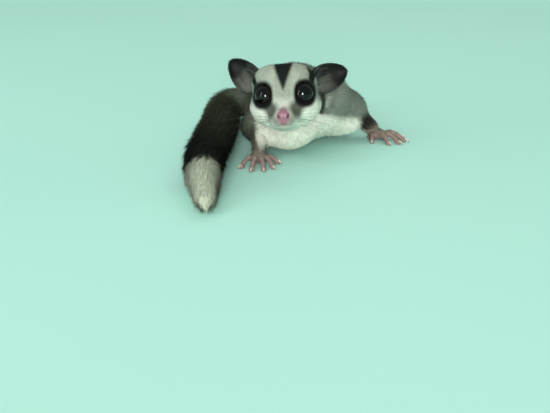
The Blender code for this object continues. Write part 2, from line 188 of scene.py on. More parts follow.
class Ball:
    """An ellipsoid, turned by a rotation."""

    def __init__(self, centre, radii, turn=None):
        self.centre = np.array(centre, float)
        self.radii = np.array(radii, float)
        self.turn = np.identity(3) if turn is None else np.array(turn, float)

    def placed(self, matrix):
        turn = np.array(matrix.to_3x3()) @ self.turn
        return Ball(tuple(matrix @ Vector(self.centre)), self.radii, turn)

    def thinner(self, depth):
        return Ball(self.centre, self.radii - depth, self.turn)

    def distance(self, points):
        own = (points - self.centre) @ self.turn
        near = np.linalg.norm(own / self.radii, axis=1)
        slope = np.linalg.norm(own / self.radii**2, axis=1)
        return near * (near - 1) / np.maximum(slope, 1e-6)

    def add_to(self, bm):
        shape = Matrix(self.turn).to_4x4() @ Matrix.Diagonal((*self.radii, 1))
        place = Matrix.Translation(self.centre) @ shape
        bmesh.ops.create_uvsphere(bm, u_segments=SIDES, v_segments=SIDES // 2, radius=1, matrix=place)


class Chain:
    """Round cones end to end through a row of points, with a radius at each point."""

    def __init__(self, points, radii):
        self.points = array(points)
        self.radii = np.array(radii, float)

    def placed(self, matrix):
        return Chain([matrix @ Vector(p) for p in self.points], self.radii)

    def thinner(self, depth):
        return Chain(self.points, self.radii - depth)

    def nearest(self, points):
        """Each point's distance from the surface, its place along the row, and the direction there."""
        found = np.full(len(points), np.inf)
        place = np.zeros(len(points))
        heading = np.zeros((len(points), 3))
        for i in range(len(self.points) - 1):
            start, run = self.points[i], self.points[i + 1] - self.points[i]
            along = np.clip((points - start) @ run / (run @ run), 0, 1)
            radius = self.radii[i] + along * (self.radii[i + 1] - self.radii[i])
            off = np.linalg.norm(points - start - along[:, None] * run, axis=1) - radius
            closer = off < found
            found[closer] = off[closer]
            place[closer] = i + along[closer]
            heading[closer] = run / np.linalg.norm(run)
        return found, place, heading

    def distance(self, points):
        return self.nearest(points)[0]

    def add_to(self, bm):
        for point, radius in zip(self.points, self.radii):
            Ball(point, (radius,) * 3).add_to(bm)
        for i in range(len(self.points) - 1):
            start, end = Vector(self.points[i]), Vector(self.points[i + 1])
            turn = (end - start).to_track_quat("Z", "Y").to_matrix().to_4x4()
            bmesh.ops.create_cone(
                bm,
                cap_ends=True,
                segments=SIDES,
                radius1=self.radii[i],
                radius2=self.radii[i + 1],
                depth=(end - start).length,
                matrix=Matrix.Translation((start + end) / 2) @ turn,
            )


class Ring:
    """A round bar bent into a ring."""

    def __init__(self, centre, axis, major, minor):
        self.centre, self.axis = np.array(centre, float), np.array(axis, float)
        self.major, self.minor = major, minor

    def distance(self, points):
        off = points - self.centre
        along = off @ self.axis
        across = np.linalg.norm(off - along[:, None] * self.axis, axis=1)
        return np.hypot(across - self.major, along) - self.minor


def head_place():
    """From the head's own frame, whose -Y is the line of the muzzle, to the floor's."""
    yaw = Matrix.Rotation(math.radians(-HEAD_YAW), 4, "Z")
    pitch = Matrix.Rotation(math.radians(-HEAD_PITCH), 4, "X")
    roll = Matrix.Rotation(math.radians(-HEAD_ROLL), 4, "Y")
    return Matrix.Translation((0, 0, HEAD_HEIGHT)) @ yaw @ pitch @ roll


def in_head(points):
    """Points of the floor's frame in the head's own."""
    inverse = np.array(head_place().inverted())
    return points @ inverse[:3, :3].T + inverse[:3, 3]


def eye_centre(side):
    return Vector((side * 7.6, -7.7, 0.1))


def eye_gaze(side):
    return Vector((side * 0.46, -0.87, 0.18)).normalized()


# Low ridges inside the ear, from its root outward, in the ear's own frame: across, along, toward its mouth
EAR_FOLDS = (
    ((-2.4, -8.4, -1.6), (-2.6, -4.2, -3.0), (-1.4, 0.6, -3.8)),
    ((2.2, -8.4, -1.8), (2.5, -4.6, -2.9), (1.9, -0.8, -3.6)),
    ((0.1, -8.8, -1.4), (0.3, -5.8, -2.6), (0.2, -3.6, -3.4)),
    ((-4.0, -3.6, -2.4), (-3.4, 0.8, -3.0), (-2.0, 4.2, -3.2)),
)
FOLD_RADII = (0.85, 0.6, 0.3)


class Ear:
    """A cupped leaf, open to the front, with a thin rim and low folds at its root."""

    WALL = 0.85
    INSIDE = 0.84

    def __init__(self, side):
        lean, sweep, turned = EAR_SET[side]
        lean = math.radians(lean)
        along = Vector((side * math.cos(lean), sweep, math.sin(lean))).normalized()
        facing = Vector((side * turned, -0.95, 0.02))
        facing = (facing - along * facing.dot(along)).normalized()
        across = along.cross(facing)
        root = Vector((side * 12.9, 4.4, 4.7))
        turn = Matrix((across, along, facing)).transposed().to_4x4()
        self.place = head_place() @ Matrix.Translation(root + along * (0.40 * EAR_LENGTH)) @ turn
        self.half = np.array([EAR_WIDTH, EAR_LENGTH, EAR_DEPTH]) / 2
        self.facing = np.array((self.place.to_3x3() @ Vector((0, 0, 1))))
        self.along = np.array((self.place.to_3x3() @ Vector((0, 1, 0))))
        inverse = np.array(self.place.inverted())
        self.turn_back, self.shift_back = inverse[:3, :3], inverse[:3, 3]
        self.folds = [Chain([self.place @ Vector(p) for p in ridge], FOLD_RADII[: len(ridge)]) for ridge in EAR_FOLDS]

    def own(self, points):
        """Points in the ear's own frame, in which a full half length is 1."""
        found = (points @ self.turn_back.T + self.shift_back) / self.half
        found[:, 0] /= np.maximum(1 - EAR_TAPER * found[:, 1], 0.4)
        return found

    def distance(self, points):
        scaled = self.own(points)
        near = np.linalg.norm(scaled, axis=1)
        slope = np.linalg.norm(scaled / self.half, axis=1)
        wall = near * (near - 1) / np.maximum(slope, 1e-6)
        shell = np.abs(wall + self.WALL / 2) - self.WALL / 2
        found = -blended(-shell, -scaled[:, 2] * self.half[2], 0.5)
        for fold in self.folds:
            found = blended(found, fold.distance(points), 0.8)
        return found

    def add_to(self, bm):
        cup = bmesh.ops.create_uvsphere(bm, u_segments=32, v_segments=24, radius=1)["verts"]
        for vert in cup:
            if vert.co.z > 1e-4:
                vert.co = Vector((vert.co.x, vert.co.y, -vert.co.z)) * self.INSIDE
            vert.co.x *= 1 - EAR_TAPER * vert.co.y
        bmesh.ops.transform(bm, matrix=self.place @ Matrix.Diagonal((*self.half, 1)), verts=cup)


# The animal's masses, thinned to the skin


def head_masses():
    masses = [
        Ball((0, 4, 0.5), (14.0, 17.5, 12.8)).thinner(HEAD_DEPTH),
        Chain([(0, -8, -4), (0, -17.2, -8.4)], [8.2, 4.0]).thinner(FACE_DEPTH),
        Chain([(0, -3, -8.2), (0, -14.2, -11.3)], [5.8, 2.8]).thinner(FACE_DEPTH),
        Ball((0, -19.6, -8.4), (2.5, 2.0, 2.2)).thinner(FACE_DEPTH),
        Ball((0, -4, -7.6), (11.6, 9.6, 7.4)).thinner(HEAD_DEPTH),
        Ball((-7.6, 3, 5.9), (5.3, 9.0, 5.5)).thinner(HEAD_DEPTH),
    ]
    for side in (1, -1):
        masses += [
            Ball((side * 5, 3, 5.3), (8.6, 14, 7.9)).thinner(HEAD_DEPTH),
            Ball((side * 7.6, -1.5, -4.4), (8.2, 11.5, 7.2)).thinner(HEAD_DEPTH),
            Ball((side * 2.9, -14.8, -9.6), (3.4, 4.6, 3.0)).thinner(FACE_DEPTH),
            Ball(eye_centre(side) - 1.9 * eye_gaze(side), (5.9, 5.9, 5.9)).thinner(FACE_DEPTH),
        ]
    return [mass.placed(head_place()) for mass in masses]


def neck_mass():
    return Chain([(0, 11, 27.6), (4, 27, 22.3)], [13.0, 15.0]).thinner(THROAT_DEPTH)


def trunk_masses():
    masses = [
        Ball((7.5, 32, 17.6), (21.5, 18.5, 16.4)),
        Ball((25, 37, 11.5), (10.5, 9, 8)),
        Ball((6, 42, 20.8), (15, 17, 12.4)),
        Ball((6.5, 52, 17.8), (21.5, 25, 16.4)),
        Ball((6, 74, 16.8), (19.5, 20, 15.8)),
        Chain([(1, 82, 14.0), (-9, 87, 11.6)], [11, 8.8]),
    ]
    throat = Ball((1.5, 16.5, 13.4), (14.5, 11.8, 12)).thinner(THROAT_DEPTH)
    return [neck_mass(), throat, *(mass.thinner(TRUNK_DEPTH) for mass in masses)]


def limb_masses():
    """The folded gliding membrane of each flank, then the lower and upper part of each leg."""
    masses = {
        "membrane_left": Chain([(34, 50, 9), (29, 53, 9), (26.5, 60, 8.5)], [3.0, 3.4, 3.0]),
        "membrane_right": Chain([(-12, 34, 10), (-14, 41, 9.2), (-14.5, 48, 8.5)], [3.6, 3.4, 3.0]),
        "forearm_left": Chain([ELBOW_LEFT, WRIST_LEFT], [6.4, 3.9]),
        "forearm_right": Chain([ELBOW_RIGHT, WRIST_RIGHT], [5.2, 3.8]),
        "upper_arm_left": Chain([SHOULDER_LEFT, ELBOW_LEFT], [9.6, 6.9]),
        "upper_arm_right": Chain([SHOULDER_RIGHT, ELBOW_RIGHT], [8.4, 5.8]),
        "shin_left": Chain([KNEE_LEFT, ANKLE_LEFT], [6.4, 4.6]),
        "shin_right": Chain([KNEE_RIGHT, ANKLE_RIGHT], [6.4, 4.6]),
        "thigh_left": Ball((20.5, 66, 15.2), (9.4, 16.7, 12.6)),
        "thigh_right": Ball((-9.8, 66, 15.2), (8.4, 16.2, 12.2)),
    }
    return {name: mass.thinner(LIMB_DEPTH) for name, mass in masses.items()}


def rounded(rows, steps):
    """Rows of numbers read from a smooth curve through the given ones, with this many steps to each."""
    rows = array(rows)
    ends = np.concatenate([2 * rows[:1] - rows[1:2], rows, 2 * rows[-1:] - rows[-2:-1]])
    smooth = []
    for before, start, end, after in zip(ends, ends[1:], ends[2:], ends[3:]):
        for t in np.arange(steps) / steps:
            smooth.append(
                start
                + 0.5 * t * (end - before)
                + t**2 * (before - 2.5 * start + 2 * end - 0.5 * after)
                + t**3 * (1.5 * (start - end) + 0.5 * (after - before))
            )
    return np.array([*smooth, rows[-1]])


TAIL_STEPS = 3


def tail_mass():
    rows = rounded([(*point, share * TAIL_RADIUS) for point, share in TAIL_ROUTE], TAIL_STEPS)
    return Chain(rows[:-1, :3], TAIL_CORE * rows[:-1, 3])


HAND_DIGITS = (
    ((2.7, 2.6), 58, 6.6, 3.0, 1.8),
    ((2.3, 6.0), 24, 8.6, 3.9, 2.2),
    ((0.8, 7.0), 5, 10.0, 4.1, 2.3),
    ((-1.0, 6.9), -14, 10.2, 4.1, 2.3),
    ((-2.7, 5.2), -37, 8.6, 3.7, 2.2),
)
FOOT_DIGITS = (
    ((2.6, 6.5), 72, 6.4, 2.8, 0),
    ((2.0, 11.0), 15, 7.6, 3.0, 1.8),
    ((0.6, 11.8), 6, 8.0, 3.2, 1.8),
    ((-1.1, 11.8), -9, 10.2, 3.6, 2.2),
    ((-2.7, 10.2), -28, 9.2, 3.4, 2.2),
)


def digit_point(digit, share, height):
    """A point over a digit, at a share of its length from the palm."""
    start, angle, length = digit[:3]
    heading = Vector((math.sin(math.radians(angle)), math.cos(math.radians(angle)), 0))
    return Vector((*start, 0)) + heading * (length * share) + Vector((0, 0, height))


def digit_masses(digit):
    """A finger or toe that arches from the palm to its padded tip."""
    knuckle = digit[3]
    bones = [(0, 2.7), (0.38, knuckle), (0.56, 0.9 * knuckle), (0.74, 0.72 * knuckle), (0.98, 1.15)]
    sizes = np.array([1.05, 0.98, 0.78, 0.84, 0.72]) * DIGIT_RADIUS
    pad = digit_point(digit, 0.97, 0.95)
    return [
        Chain([digit_point(digit, share, height) for share, height in bones], sizes),
        Ball(pad, (0.95 * DIGIT_RADIUS, 0.95 * DIGIT_RADIUS, 0.75 * DIGIT_RADIUS)),
    ]


def hand_masses():
    masses = [
        Ball((0, 3.8, 2.8), (4.0, 4.8, 2.4)),
        Chain([(0, -3.4, 6.0), (0, 2.5, 3.4)], [2.5, 2.5]),
        Ball((2.2, 1.6, 1.4), (1.7, 2.2, 1.3)),
        Ball((-2.2, 1.8, 1.4), (1.6, 2.4, 1.3)),
    ]
    return masses + [mass for digit in HAND_DIGITS for mass in digit_masses(digit)]


def foot_masses():
    masses = [
        Ball((0, 0.5, 3.2), (3.2, 4.2, 3.1)),
        Ball((0, 7.5, 2.6), (3.7, 6.4, 2.4)),
    ]
    return masses + [mass for digit in FOOT_DIGITS for mass in digit_masses(digit)]


def paw_place(point, heading, side):
    """Sets a paw on the floor under a joint. The first digit lies on the inner side of either paw."""
    turn = Matrix.Rotation(math.radians(heading - 90), 4, "Z")
    mirror = Matrix.Diagonal((side, 1, 1, 1))
    return Matrix.Translation((point[0], point[1], -SUNK)) @ turn @ mirror


PAWS = {
    "hand_left": (HAND_DIGITS, hand_masses(), paw_place(WRIST_LEFT, HAND_HEADING_LEFT, 1)),
    "hand_right": (HAND_DIGITS, hand_masses(), paw_place(WRIST_RIGHT, HAND_HEADING_RIGHT, -1)),
    "foot_left": (FOOT_DIGITS, foot_masses(), paw_place(ANKLE_LEFT, FOOT_HEADING_LEFT, 1)),
    "foot_right": (FOOT_DIGITS, foot_masses(), paw_place(ANKLE_RIGHT, FOOT_HEADING_RIGHT, -1)),
}
HEAD = head_masses()
NECK = neck_mass()
EARS = {side: Ear(side) for side in (1, -1)}
TRUNK = trunk_masses()
LIMBS = limb_masses()
TAIL = tail_mass()
PAW_MASSES = {name: [mass.placed(place) for mass in masses] for name, (_, masses, place) in PAWS.items()}
TAIL_END = len(TAIL.points) - 1


def union(points, masses, blend):
    total = masses[0].distance(points)
    for mass in masses[1:]:
        total = blended(total, mass.distance(points), blend)
    return total


# The skin's field, part by part


LID_RADIUS = 4.0
LID_REACH = 2.45
LID_THICKNESS = 0.5
LID_EDGE = 6.1
MOUTH = ((0, -18.9, -10.9), (1.9, -18.0, -11.5), (3.6, -15.6, -12.0), (5.2, -12.2, -11.9), (6.6, -8.4, -10.9))


def lid_rings():
    rings = []
    for side in (1, -1):
        gaze = head_place().to_3x3() @ eye_gaze(side)
        centre = head_place() @ (eye_centre(side) + LID_REACH * eye_gaze(side))
        rings.append(Ring(centre, gaze, LID_RADIUS, LID_THICKNESS))
    return rings


def orbit_hollows():
    """What is pressed out of the head in front of each eye, so that its lids stand round it."""
    reach, radius = 1.17 * EYE_RADIUS, 1.1 * EYE_RADIUS
    return [
        Ball(eye_centre(side) + reach * eye_gaze(side), (radius,) * 3).placed(head_place())
        for side in (1, -1)
    ]


def mouth_lines():
    """The line of the mouth on each side, on the skin."""
    lines = []
    for side in (1, -1):
        path = rounded([(side * x, y, z) for x, y, z in MOUTH], 3)
        placed = array([head_place() @ Vector(p) for p in path])
        on_skin = settled(placed, lambda points: union(points, HEAD, HEAD_BLEND))
        lines.append(Chain(on_skin, np.linspace(0.42, 0.2, len(on_skin))))
    return lines


def settled(points, field):
    """Moves points onto the surface where a field is nought."""
    for _ in range(SETTLE_STEPS):
        here = field(points)
        slope = np.stack([(field(points + step) - here) / STEP_PROBE for step in np.identity(3) * STEP_PROBE], axis=1)
        steep = np.maximum((slope**2).sum(axis=1), 0.25)
        points = points - slope * (here / steep)[:, None]
    return points


LIDS = lid_rings()
ORBITS = orbit_hollows()
MOUTH_LINES = mouth_lines()


def head_field(points):
    found = blended(union(points, HEAD, HEAD_BLEND), NECK.distance(points), HEAD_BLEND)
    found = found + TUCK * ramp(points[:, 1], 13, 20)
    for hollow in ORBITS:
        found = pressed(found, hollow.distance(points), 1.2)
    for lid in LIDS:
        found = blended(found, lid.distance(points), 0.9)
    for line in MOUTH_LINES:
        found = pressed(found, line.distance(points), 0.5)
    for ear in EARS.values():
        found = blended(found, ear.distance(points), 1.6)
    return found


def trunk_field(points):
    body = union(points, [*TRUNK, *LIMBS.values()], BODY_BLEND)
    found = blended(body, TAIL.distance(points), 3.0)
    return found + TUCK * ramp(-points[:, 1], -17, -10) * ramp(points[:, 2], 14, 19)


def paw_field(name):
    return lambda points: union(points, PAW_MASSES[name], PAW_BLEND / 2)


# Meshes


def add_object(name, mesh):
    obj = bpy.data.objects.new(name, mesh)
    bpy.context.scene.collection.objects.link(obj)
    return obj


def applied(obj):
    """Bakes an object's modifiers into its mesh."""
    graph = bpy.context.evaluated_depsgraph_get()
    mesh = bpy.data.meshes.new_from_object(obj.evaluated_get(graph))
    obj.modifiers.clear()
    obj.data = mesh
    return obj


def column(items, name, width, kind=float):
    """One of Blender's lists of values as an array."""
    flat = np.empty(len(items) * width, kind)
    items.foreach_get(name, flat)
    return flat.reshape(-1, width) if width > 1 else flat


def hull(name, masses, voxel, field):
    """A closed mesh of a field's surface, from a voxel hull of its masses."""
    bm = bmesh.new()
    for mass in masses:
        mass.add_to(bm)
    mesh = bpy.data.meshes.new(name)
    bm.to_mesh(mesh)
    bm.free()
    obj = add_object(name, mesh)
    remesh = obj.modifiers.new("Fuse", "REMESH")
    remesh.mode = "VOXEL"
    remesh.voxel_size = voxel
    applied(obj)
    points = settled(column(obj.data.vertices, "co", 3), field)
    points[:, 2] = np.maximum(points[:, 2], 0.02)
    obj.data.vertices.foreach_set("co", points.astype(np.float32).ravel())
    obj.data.update()
    return obj


def united(base, others):
    """One closed skin from parts that run into each other."""
    for other in others:
        boolean = base.modifiers.new("Join", "BOOLEAN")
        boolean.operation = "UNION"
        boolean.solver = "MANIFOLD"
        boolean.object = other
        applied(base)
        bpy.data.objects.remove(other)
    return base


def triangle_mesh(name, points, triangles):
    """A smooth mesh of triangles from arrays, in millimetres of the design's frame."""
    mesh = bpy.data.meshes.new(name)
    mesh.vertices.add(len(points))
    mesh.vertices.foreach_set("co", ((points + OFFSET) * MM).astype(np.float32).ravel())
    mesh.loops.add(triangles.size)
    mesh.loops.foreach_set("vertex_index", triangles.astype(np.int32).ravel())
    mesh.polygons.add(len(triangles))
    mesh.polygons.foreach_set("loop_start", np.arange(0, triangles.size, 3, dtype=np.int32))
    mesh.update(calc_edges=True)
    mesh.shade_smooth()
    return add_object(name, mesh)


def paint(obj, colours, name="Coat"):
    """Stores a colour for each vertex."""
    layer = obj.data.color_attributes.new(name, "FLOAT_COLOR", "POINT")
    full = np.concatenate([np.clip(colours, 0, 1), np.ones((len(colours), 1))], axis=1)
    layer.data.foreach_set("color", full.astype(np.float32).ravel())


def unwrap(obj):
    """A map of the whole surface, in flat islands."""
    bpy.context.view_layer.objects.active = obj
    obj.select_set(True)
    bpy.ops.object.mode_set(mode="EDIT")
    bpy.ops.mesh.select_all(action="SELECT")
    bpy.ops.uv.smart_project(angle_limit=math.radians(70), island_margin=0.002)
    bpy.ops.object.mode_set(mode="OBJECT")
    obj.select_set(False)
    obj.data.uv_layers.active.name = "OFBake"


def node_middle(name):
    low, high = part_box(name)
    return (low + high) / 2


def design_offset():
    """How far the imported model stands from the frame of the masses, in millimetres."""
    packed = (node_middle("eye_left") + node_middle("eye_right")) / 2 / MM
    designed = (head_place() @ eye_centre(1) + head_place() @ eye_centre(-1)) / 2
    return np.array(packed - designed)


OFFSET = design_offset()


# What part of the body a point belongs to


REGIONS = ("head", "trunk", "upper_arm", "forearm", "thigh", "shin", "membrane", "tail", "ear", "paw")


class Places:
    """For points on the skin: the distance of each region, the nearest one, and how much each counts."""

    def __init__(self, points, normals):
        self.points, self.normals = points, normals
        self.head = in_head(points)
        self.tail_off, self.tail_place, self.tail_heading = TAIL.nearest(points)
        self.off = {
            "head": union(points, HEAD, HEAD_BLEND),
            "trunk": union(points, TRUNK, BODY_BLEND),
            "tail": self.tail_off,
            "ear": np.minimum(*(EARS[side].distance(points) for side in (1, -1))),
            "paw": np.min([union(points, masses, PAW_BLEND) for masses in PAW_MASSES.values()], axis=0),
        }
        for kind in ("upper_arm", "forearm", "thigh", "shin", "membrane"):
            self.off[kind] = np.minimum(*(LIMBS[f"{kind}_{side}"].distance(points) for side in ("left", "right")))
        every = np.stack([self.off[kind] for kind in REGIONS], axis=1)
        self.nearest = every.argmin(axis=1)
        share = np.exp(-(every - every.min(axis=1, keepdims=True)) / 0.9)
        self.share = share / share.sum(axis=1, keepdims=True)

    def is_in(self, *kinds):
        return np.isin(self.nearest, [REGIONS.index(kind) for kind in kinds])

    def mixed(self, values):
        """A value for each region, mixed at each point."""
        return self.share @ np.array([values[kind] for kind in REGIONS], float)

    def ear_hollow(self):
        """1 inside either ear, 2 where hairs grow there, and else 0."""
        found = np.zeros(len(self.points))
        for side, ear in EARS.items():
            own = ear.own(self.points)
            inside = (np.linalg.norm(own, axis=1) < 0.97) & (own[:, 2] < 0.1) & (self.head[:, 0] * side > 0)
            inside &= own[:, 1] > -0.86
            hairy = inside & (own[:, 1] < 0.12) & (self.normals @ ear.facing > 0.3)
            found = np.maximum(found, inside * 1.0 + hairy)
        return found

    def eye_distance(self):
        return np.min([np.linalg.norm(self.head - np.array(eye_centre(side)), axis=1) for side in (1, -1)], axis=0)


# The markings, which the skin and the coat share


def mixed(base, colour, amount):
    return base + (np.asarray(colour) - base) * np.asarray(amount)[:, None]


def stripe(points, route, radii, soft):
    """How much a round band along a route covers each point."""
    return 1 - ramp(Chain(route, radii).distance(points), -soft, soft)


def both_sides(route, side):
    return [(side * x, y, z) for x, y, z in route]


SPINE_Y = (10, 20, 32, 52, 74, 90)
SPINE_X = (1.0, 3.0, 6.5, 6.5, 6.0, 0.0)
WHITE_BELOW_Y = (2, 12, 20, 26, 34, 40, 46, 60, 90)
WHITE_BELOW_Z = (24, 21, 17.2, 15.0, 13.4, 11.5, 9, 7, 6)
ARM_WHITE_Z = (2, 5, 9)
ARM_WHITE_X = (-6, -10.8, -12.5)
MEMBRANE_EDGES = (
    ((36.5, 42, 9.6), (36.5, 50, 9.6), (31.5, 57, 9.4), (30, 66, 8.8), (27, 76, 8.2)),
    ((-16, 26, 10.5), (-16.5, 34, 10.4), (-17.8, 42, 9.8), (-18, 52, 9.2), (-18.2, 66, 8.8), (-16, 77, 8.2)),
)


def membrane_edge(points):
    """The dark edge of the folded gliding membrane along each flank."""
    found = [stripe(points, route, [1.5] * len(route), 0.9) for route in MEMBRANE_EDGES]
    return np.maximum(*found)


NECK_STRIPES = (
    (((21.2, 23.8, 28.5), (20.7, 22.4, 26.4), (20.2, 21.2, 24.3), (19.3, 19.8, 21.9)), 0.8, PALE),
    (((17.2, 21.0, 28.0), (17.4, 19.9, 25.5), (17.4, 18.7, 23.0), (16.5, 17.0, 20.2)), 1.6, DARK),
    (((-12.0, 20.0, 28.0), (-12.6, 20.0, 24.0), (-12.0, 18.5, 20.0)), 1.5, DARK),
)


def neck_cover(at, i):
    route, radius, _ = NECK_STRIPES[i]
    return stripe(at.points, route, [radius] * len(route), 0.6)


def neck_stripes(at, base):
    """The dark line that runs down behind each ear, and the pale one beside it."""
    for i, (*_, colour) in enumerate(NECK_STRIPES):
        base = mixed(base, colour, 0.85 * neck_cover(at, i))
    return base


def trunk_colours(at):
    x, y, z = at.points.T
    base = np.tile(GREY, (len(x), 1))
    base = mixed(base, SLATE, ramp(y, 26, 60) * 0.75)
    line = np.interp(y, WHITE_BELOW_Y, WHITE_BELOW_Z)
    base = mixed(base, OLIVE, (1 - ramp(x, -9, -3)) * ramp(z, 5, 11) * 0.75)
    white = mixed(np.tile(CHEST, (len(x), 1)), CREAM, ramp(x, 6, 16))
    base = mixed(base, white, 1 - ramp(z - line, -1.5, 1.5))
    half = np.interp(y, (8, 18, 40, 75, 92), (3.0, 2.6, 2.5, 2.3, 1.6))
    off = np.abs(x - np.interp(y, SPINE_Y, SPINE_X))
    base = mixed(base, DARK, (1 - ramp(off, half - 0.9, half + 0.9)) * ramp(z, 18, 22))
    return neck_stripes(at, mixed(base, DARK, membrane_edge(at.points)))


STRIPE_UP = (-0.2, 3.6, 7.1, 9.6, 11.8)
STRIPE_HALF = (0.0, 1.3, 2.5, 3.3, 3.9)
PATCH_MIDDLE = (8.9, 0.45)
PATCH_HALF = (4.6, 5.9)
PATCH_CORNER = 2.5
BROW_TONGUES = {
    1: (((11.6, -6.0, 4.0), (12.2, -3.0, 6.8), (11.4, 0.0, 9.2), (12.2, 6.0, 9.2)), (2.2, 2.3, 2.5, 2.8)),
    -1: (((-11.6, -6.0, 4.0), (-12.5, -2.0, 6.8), (-12.2, 2.5, 9.2), (-10.8, 4.5, 11.6)), (1.7, 1.8, 1.9, 1.7)),
}
BEHIND_EAR = ((15.2, 3.5, 0.5), (14.6, 4.5, -3.0), (12.6, 5.5, -8.5))
CREAM_BELOW_EAR = ((16.0, 8.5, -0.5), (14.5, 9.5, -5.0))
SMUDGE_ROUTE = ((6.0, -12.2, -4.2), (4.8, -15.0, -6.3), (3.7, -18.0, -8.0), (3.0, -19.4, -9.8))


def head_colours(at):
    x, y, z = at.head.T
    up = z + 0.14 * y
    base = np.tile(PALE, (len(x), 1))
    base = mixed(base, GREY, ramp(y, 3, 10) * ramp(z, -4, 2))
    low = 1 - ramp(up, -5.5, -1.5)
    base = mixed(base, CREAM, low * (1 - ramp(y, 8, 14) * ramp(z, -12, -6)))
    base = mixed(base, GREY, (1 - ramp(np.abs(x), 2.4, 4.6)) * ramp(-y, 5, 10) * 0.35)
    for side in (1, -1):
        place = [head_place() @ Vector(p) for p in both_sides(SMUDGE_ROUTE, side)]
        base = mixed(base, SMUDGE, 0.92 * stripe(at.points, place, [3.0, 3.4, 2.6, 1.5], 1.6))
    nose = np.hypot(x / 2.6, (z + 8.5) / 3.6)
    base = mixed(base, MUZZLE, (1 - ramp(np.hypot(x / 4.6, (z + 10.2) / 3.0), 0.7, 1.2)) * ramp(-y, 15, 18) * 0.6)
    base = mixed(base, NOSE_PINK, (1 - ramp(nose, 0.75, 1.25)) * ramp(-y, 17, 19) * 0.9)
    half = np.interp(up, STRIPE_UP, STRIPE_HALF) - np.interp(y, (2, 12), (0, 1.2))
    base = mixed(base, DARK, (1 - ramp(np.abs(x), half - 0.9, half + 0.9)) * ramp(up, -0.6, 1.0))
    for side in (1, -1):
        across = np.abs(x * side - PATCH_MIDDLE[0]) / PATCH_HALF[0]
        above = np.abs(z - PATCH_MIDDLE[1]) / PATCH_HALF[1]
        reach = (across**PATCH_CORNER + above**PATCH_CORNER) ** (1 / PATCH_CORNER)
        base = mixed(base, BLACK, (1 - ramp(reach, 0.84, 1.16)) * (1 - ramp(y, -2, 1)))
        marks = (
            (*BROW_TONGUES[side], DARK),
            (both_sides(BEHIND_EAR, side), (1.7, 1.5, 1.1), DARK),
            (both_sides(CREAM_BELOW_EAR, side), (1.8, 1.4), CREAM),
        )
        for route, radii, colour in marks:
            place = [head_place() @ Vector(p) for p in route]
            base = mixed(base, colour, stripe(at.points, place, radii, 0.8))
    return base


ARM_PATCH = ((33.5, 37.5, 12.5), (37.5, 40.5, 10.5), (42.0, 43.5, 7.0))


def limb_colours(at):
    x, y, z = at.points.T
    base = np.tile(GREY, (len(x), 1))
    base = mixed(base, SLATE, ramp(y, 45, 60) * 0.7)
    base = mixed(base, OLIVE, (1 - ramp(x, -9, -3)) * 0.85)
    wrist = np.min([np.linalg.norm(at.points - np.array(p), axis=1) for p in (WRIST_LEFT, WRIST_RIGHT)], axis=0)
    base = mixed(base, TAN, (1 - ramp(wrist, 2.5, 6.0)) * 0.7)
    base = mixed(base, BROWN, stripe(at.points, ARM_PATCH, [2.8, 3.6, 3.0], 1.3))
    base = mixed(base, CHEST, (1 - ramp(z, 3.0, 6.5)) * at.is_in("thigh", "upper_arm", "membrane"))
    base = mixed(base, CHEST, (1 - ramp(z, 8.0, 9.6)) * at.is_in("membrane"))
    base = mixed(base, CREAM, (1 - ramp(z, 12.0, 14.0)) * (1 - ramp(x, 32.5, 34.5)) * (x > 18) * (y < 42))
    inward = x - np.interp(z, ARM_WHITE_Z, ARM_WHITE_X)
    right_arm = (x < 2) * (y < 32) * (1 - ramp(z, 13, 16))
    base = mixed(base, DARK, (1 - ramp(np.abs(inward + 1.2), 0.6, 1.6)) * 0.7 * right_arm)
    base = mixed(base, CHEST, ramp(inward, -0.8, 0.8) * right_arm)
    return mixed(base, DARK, membrane_edge(at.points) * (1 - at.is_in("forearm")))


TAIL_PLACES = (0.4, 2.6, 4.2, 5.8, 7.2)
TAIL_TONES = np.array([SLATE, srgb(104, 112, 94), srgb(92, 99, 81), srgb(70, 76, 62), srgb(34, 39, 33)])


def tail_colours(at):
    share = at.tail_place / TAIL_STEPS
    base = np.stack([np.interp(share, TAIL_PLACES, TAIL_TONES[:, i]) for i in range(3)], axis=1)
    return mixed(base, TAIL_WHITE, ramp(share, WHITE_TIP_FROM - 0.35, WHITE_TIP_FROM - 0.05))


def ear_colours(at):
    base = np.tile(EAR_BACK, (len(at.points), 1))
    for side, ear in EARS.items():
        own = ear.own(at.points)
        mine = at.head[:, 0] * side > 0
        inside = ramp(at.normals @ ear.facing, 0.0, 0.4) * (own[:, 2] < 0.2)
        dark = np.maximum(ramp(-side * own[:, 0], -0.35, 0.4), ramp(own[:, 1], -0.35, 0.5))
        dark = np.maximum(dark, ramp(np.hypot(own[:, 0], own[:, 1]), 0.8, 0.98))
        tone = mixed(np.tile(EAR_INSIDE, (len(dark), 1)), EAR_BACK, 0.96 * dark)
        base = np.where(mine[:, None], mixed(base, tone, inside), base)
    return base


def paw_colours(at):
    base = np.tile(PINK, (len(at.points), 1))
    base = mixed(base, TAN, ramp(at.points[:, 2], 3.2, 5.0) * 0.8)
    base = mixed(base, TAN, 1 - ramp(at.off["forearm"], 0.5, 4.5))
    return mixed(base, SLATE, (1 - ramp(at.off["shin"], 1.5, 6.0)) * ramp(at.points[:, 2], 1.5, 2.6))


def markings(at):
    """The colour of the coat, or of bare skin, at each point."""
    kinds = {"head": head_colours(at), "trunk": trunk_colours(at), "tail": tail_colours(at)}
    kinds.update(dict.fromkeys(("upper_arm", "forearm", "thigh", "shin", "membrane"), limb_colours(at)))
    kinds.update(ear=ear_colours(at), paw=paw_colours(at))
    found = sum(at.share[:, [i]] * kinds[kind] for i, kind in enumerate(REGIONS))
    eyelid = 1 - ramp(at.eye_distance(), 5.2, 6.0)
    return mixed(found, BLACK, eyelid)


# The lie of the coat


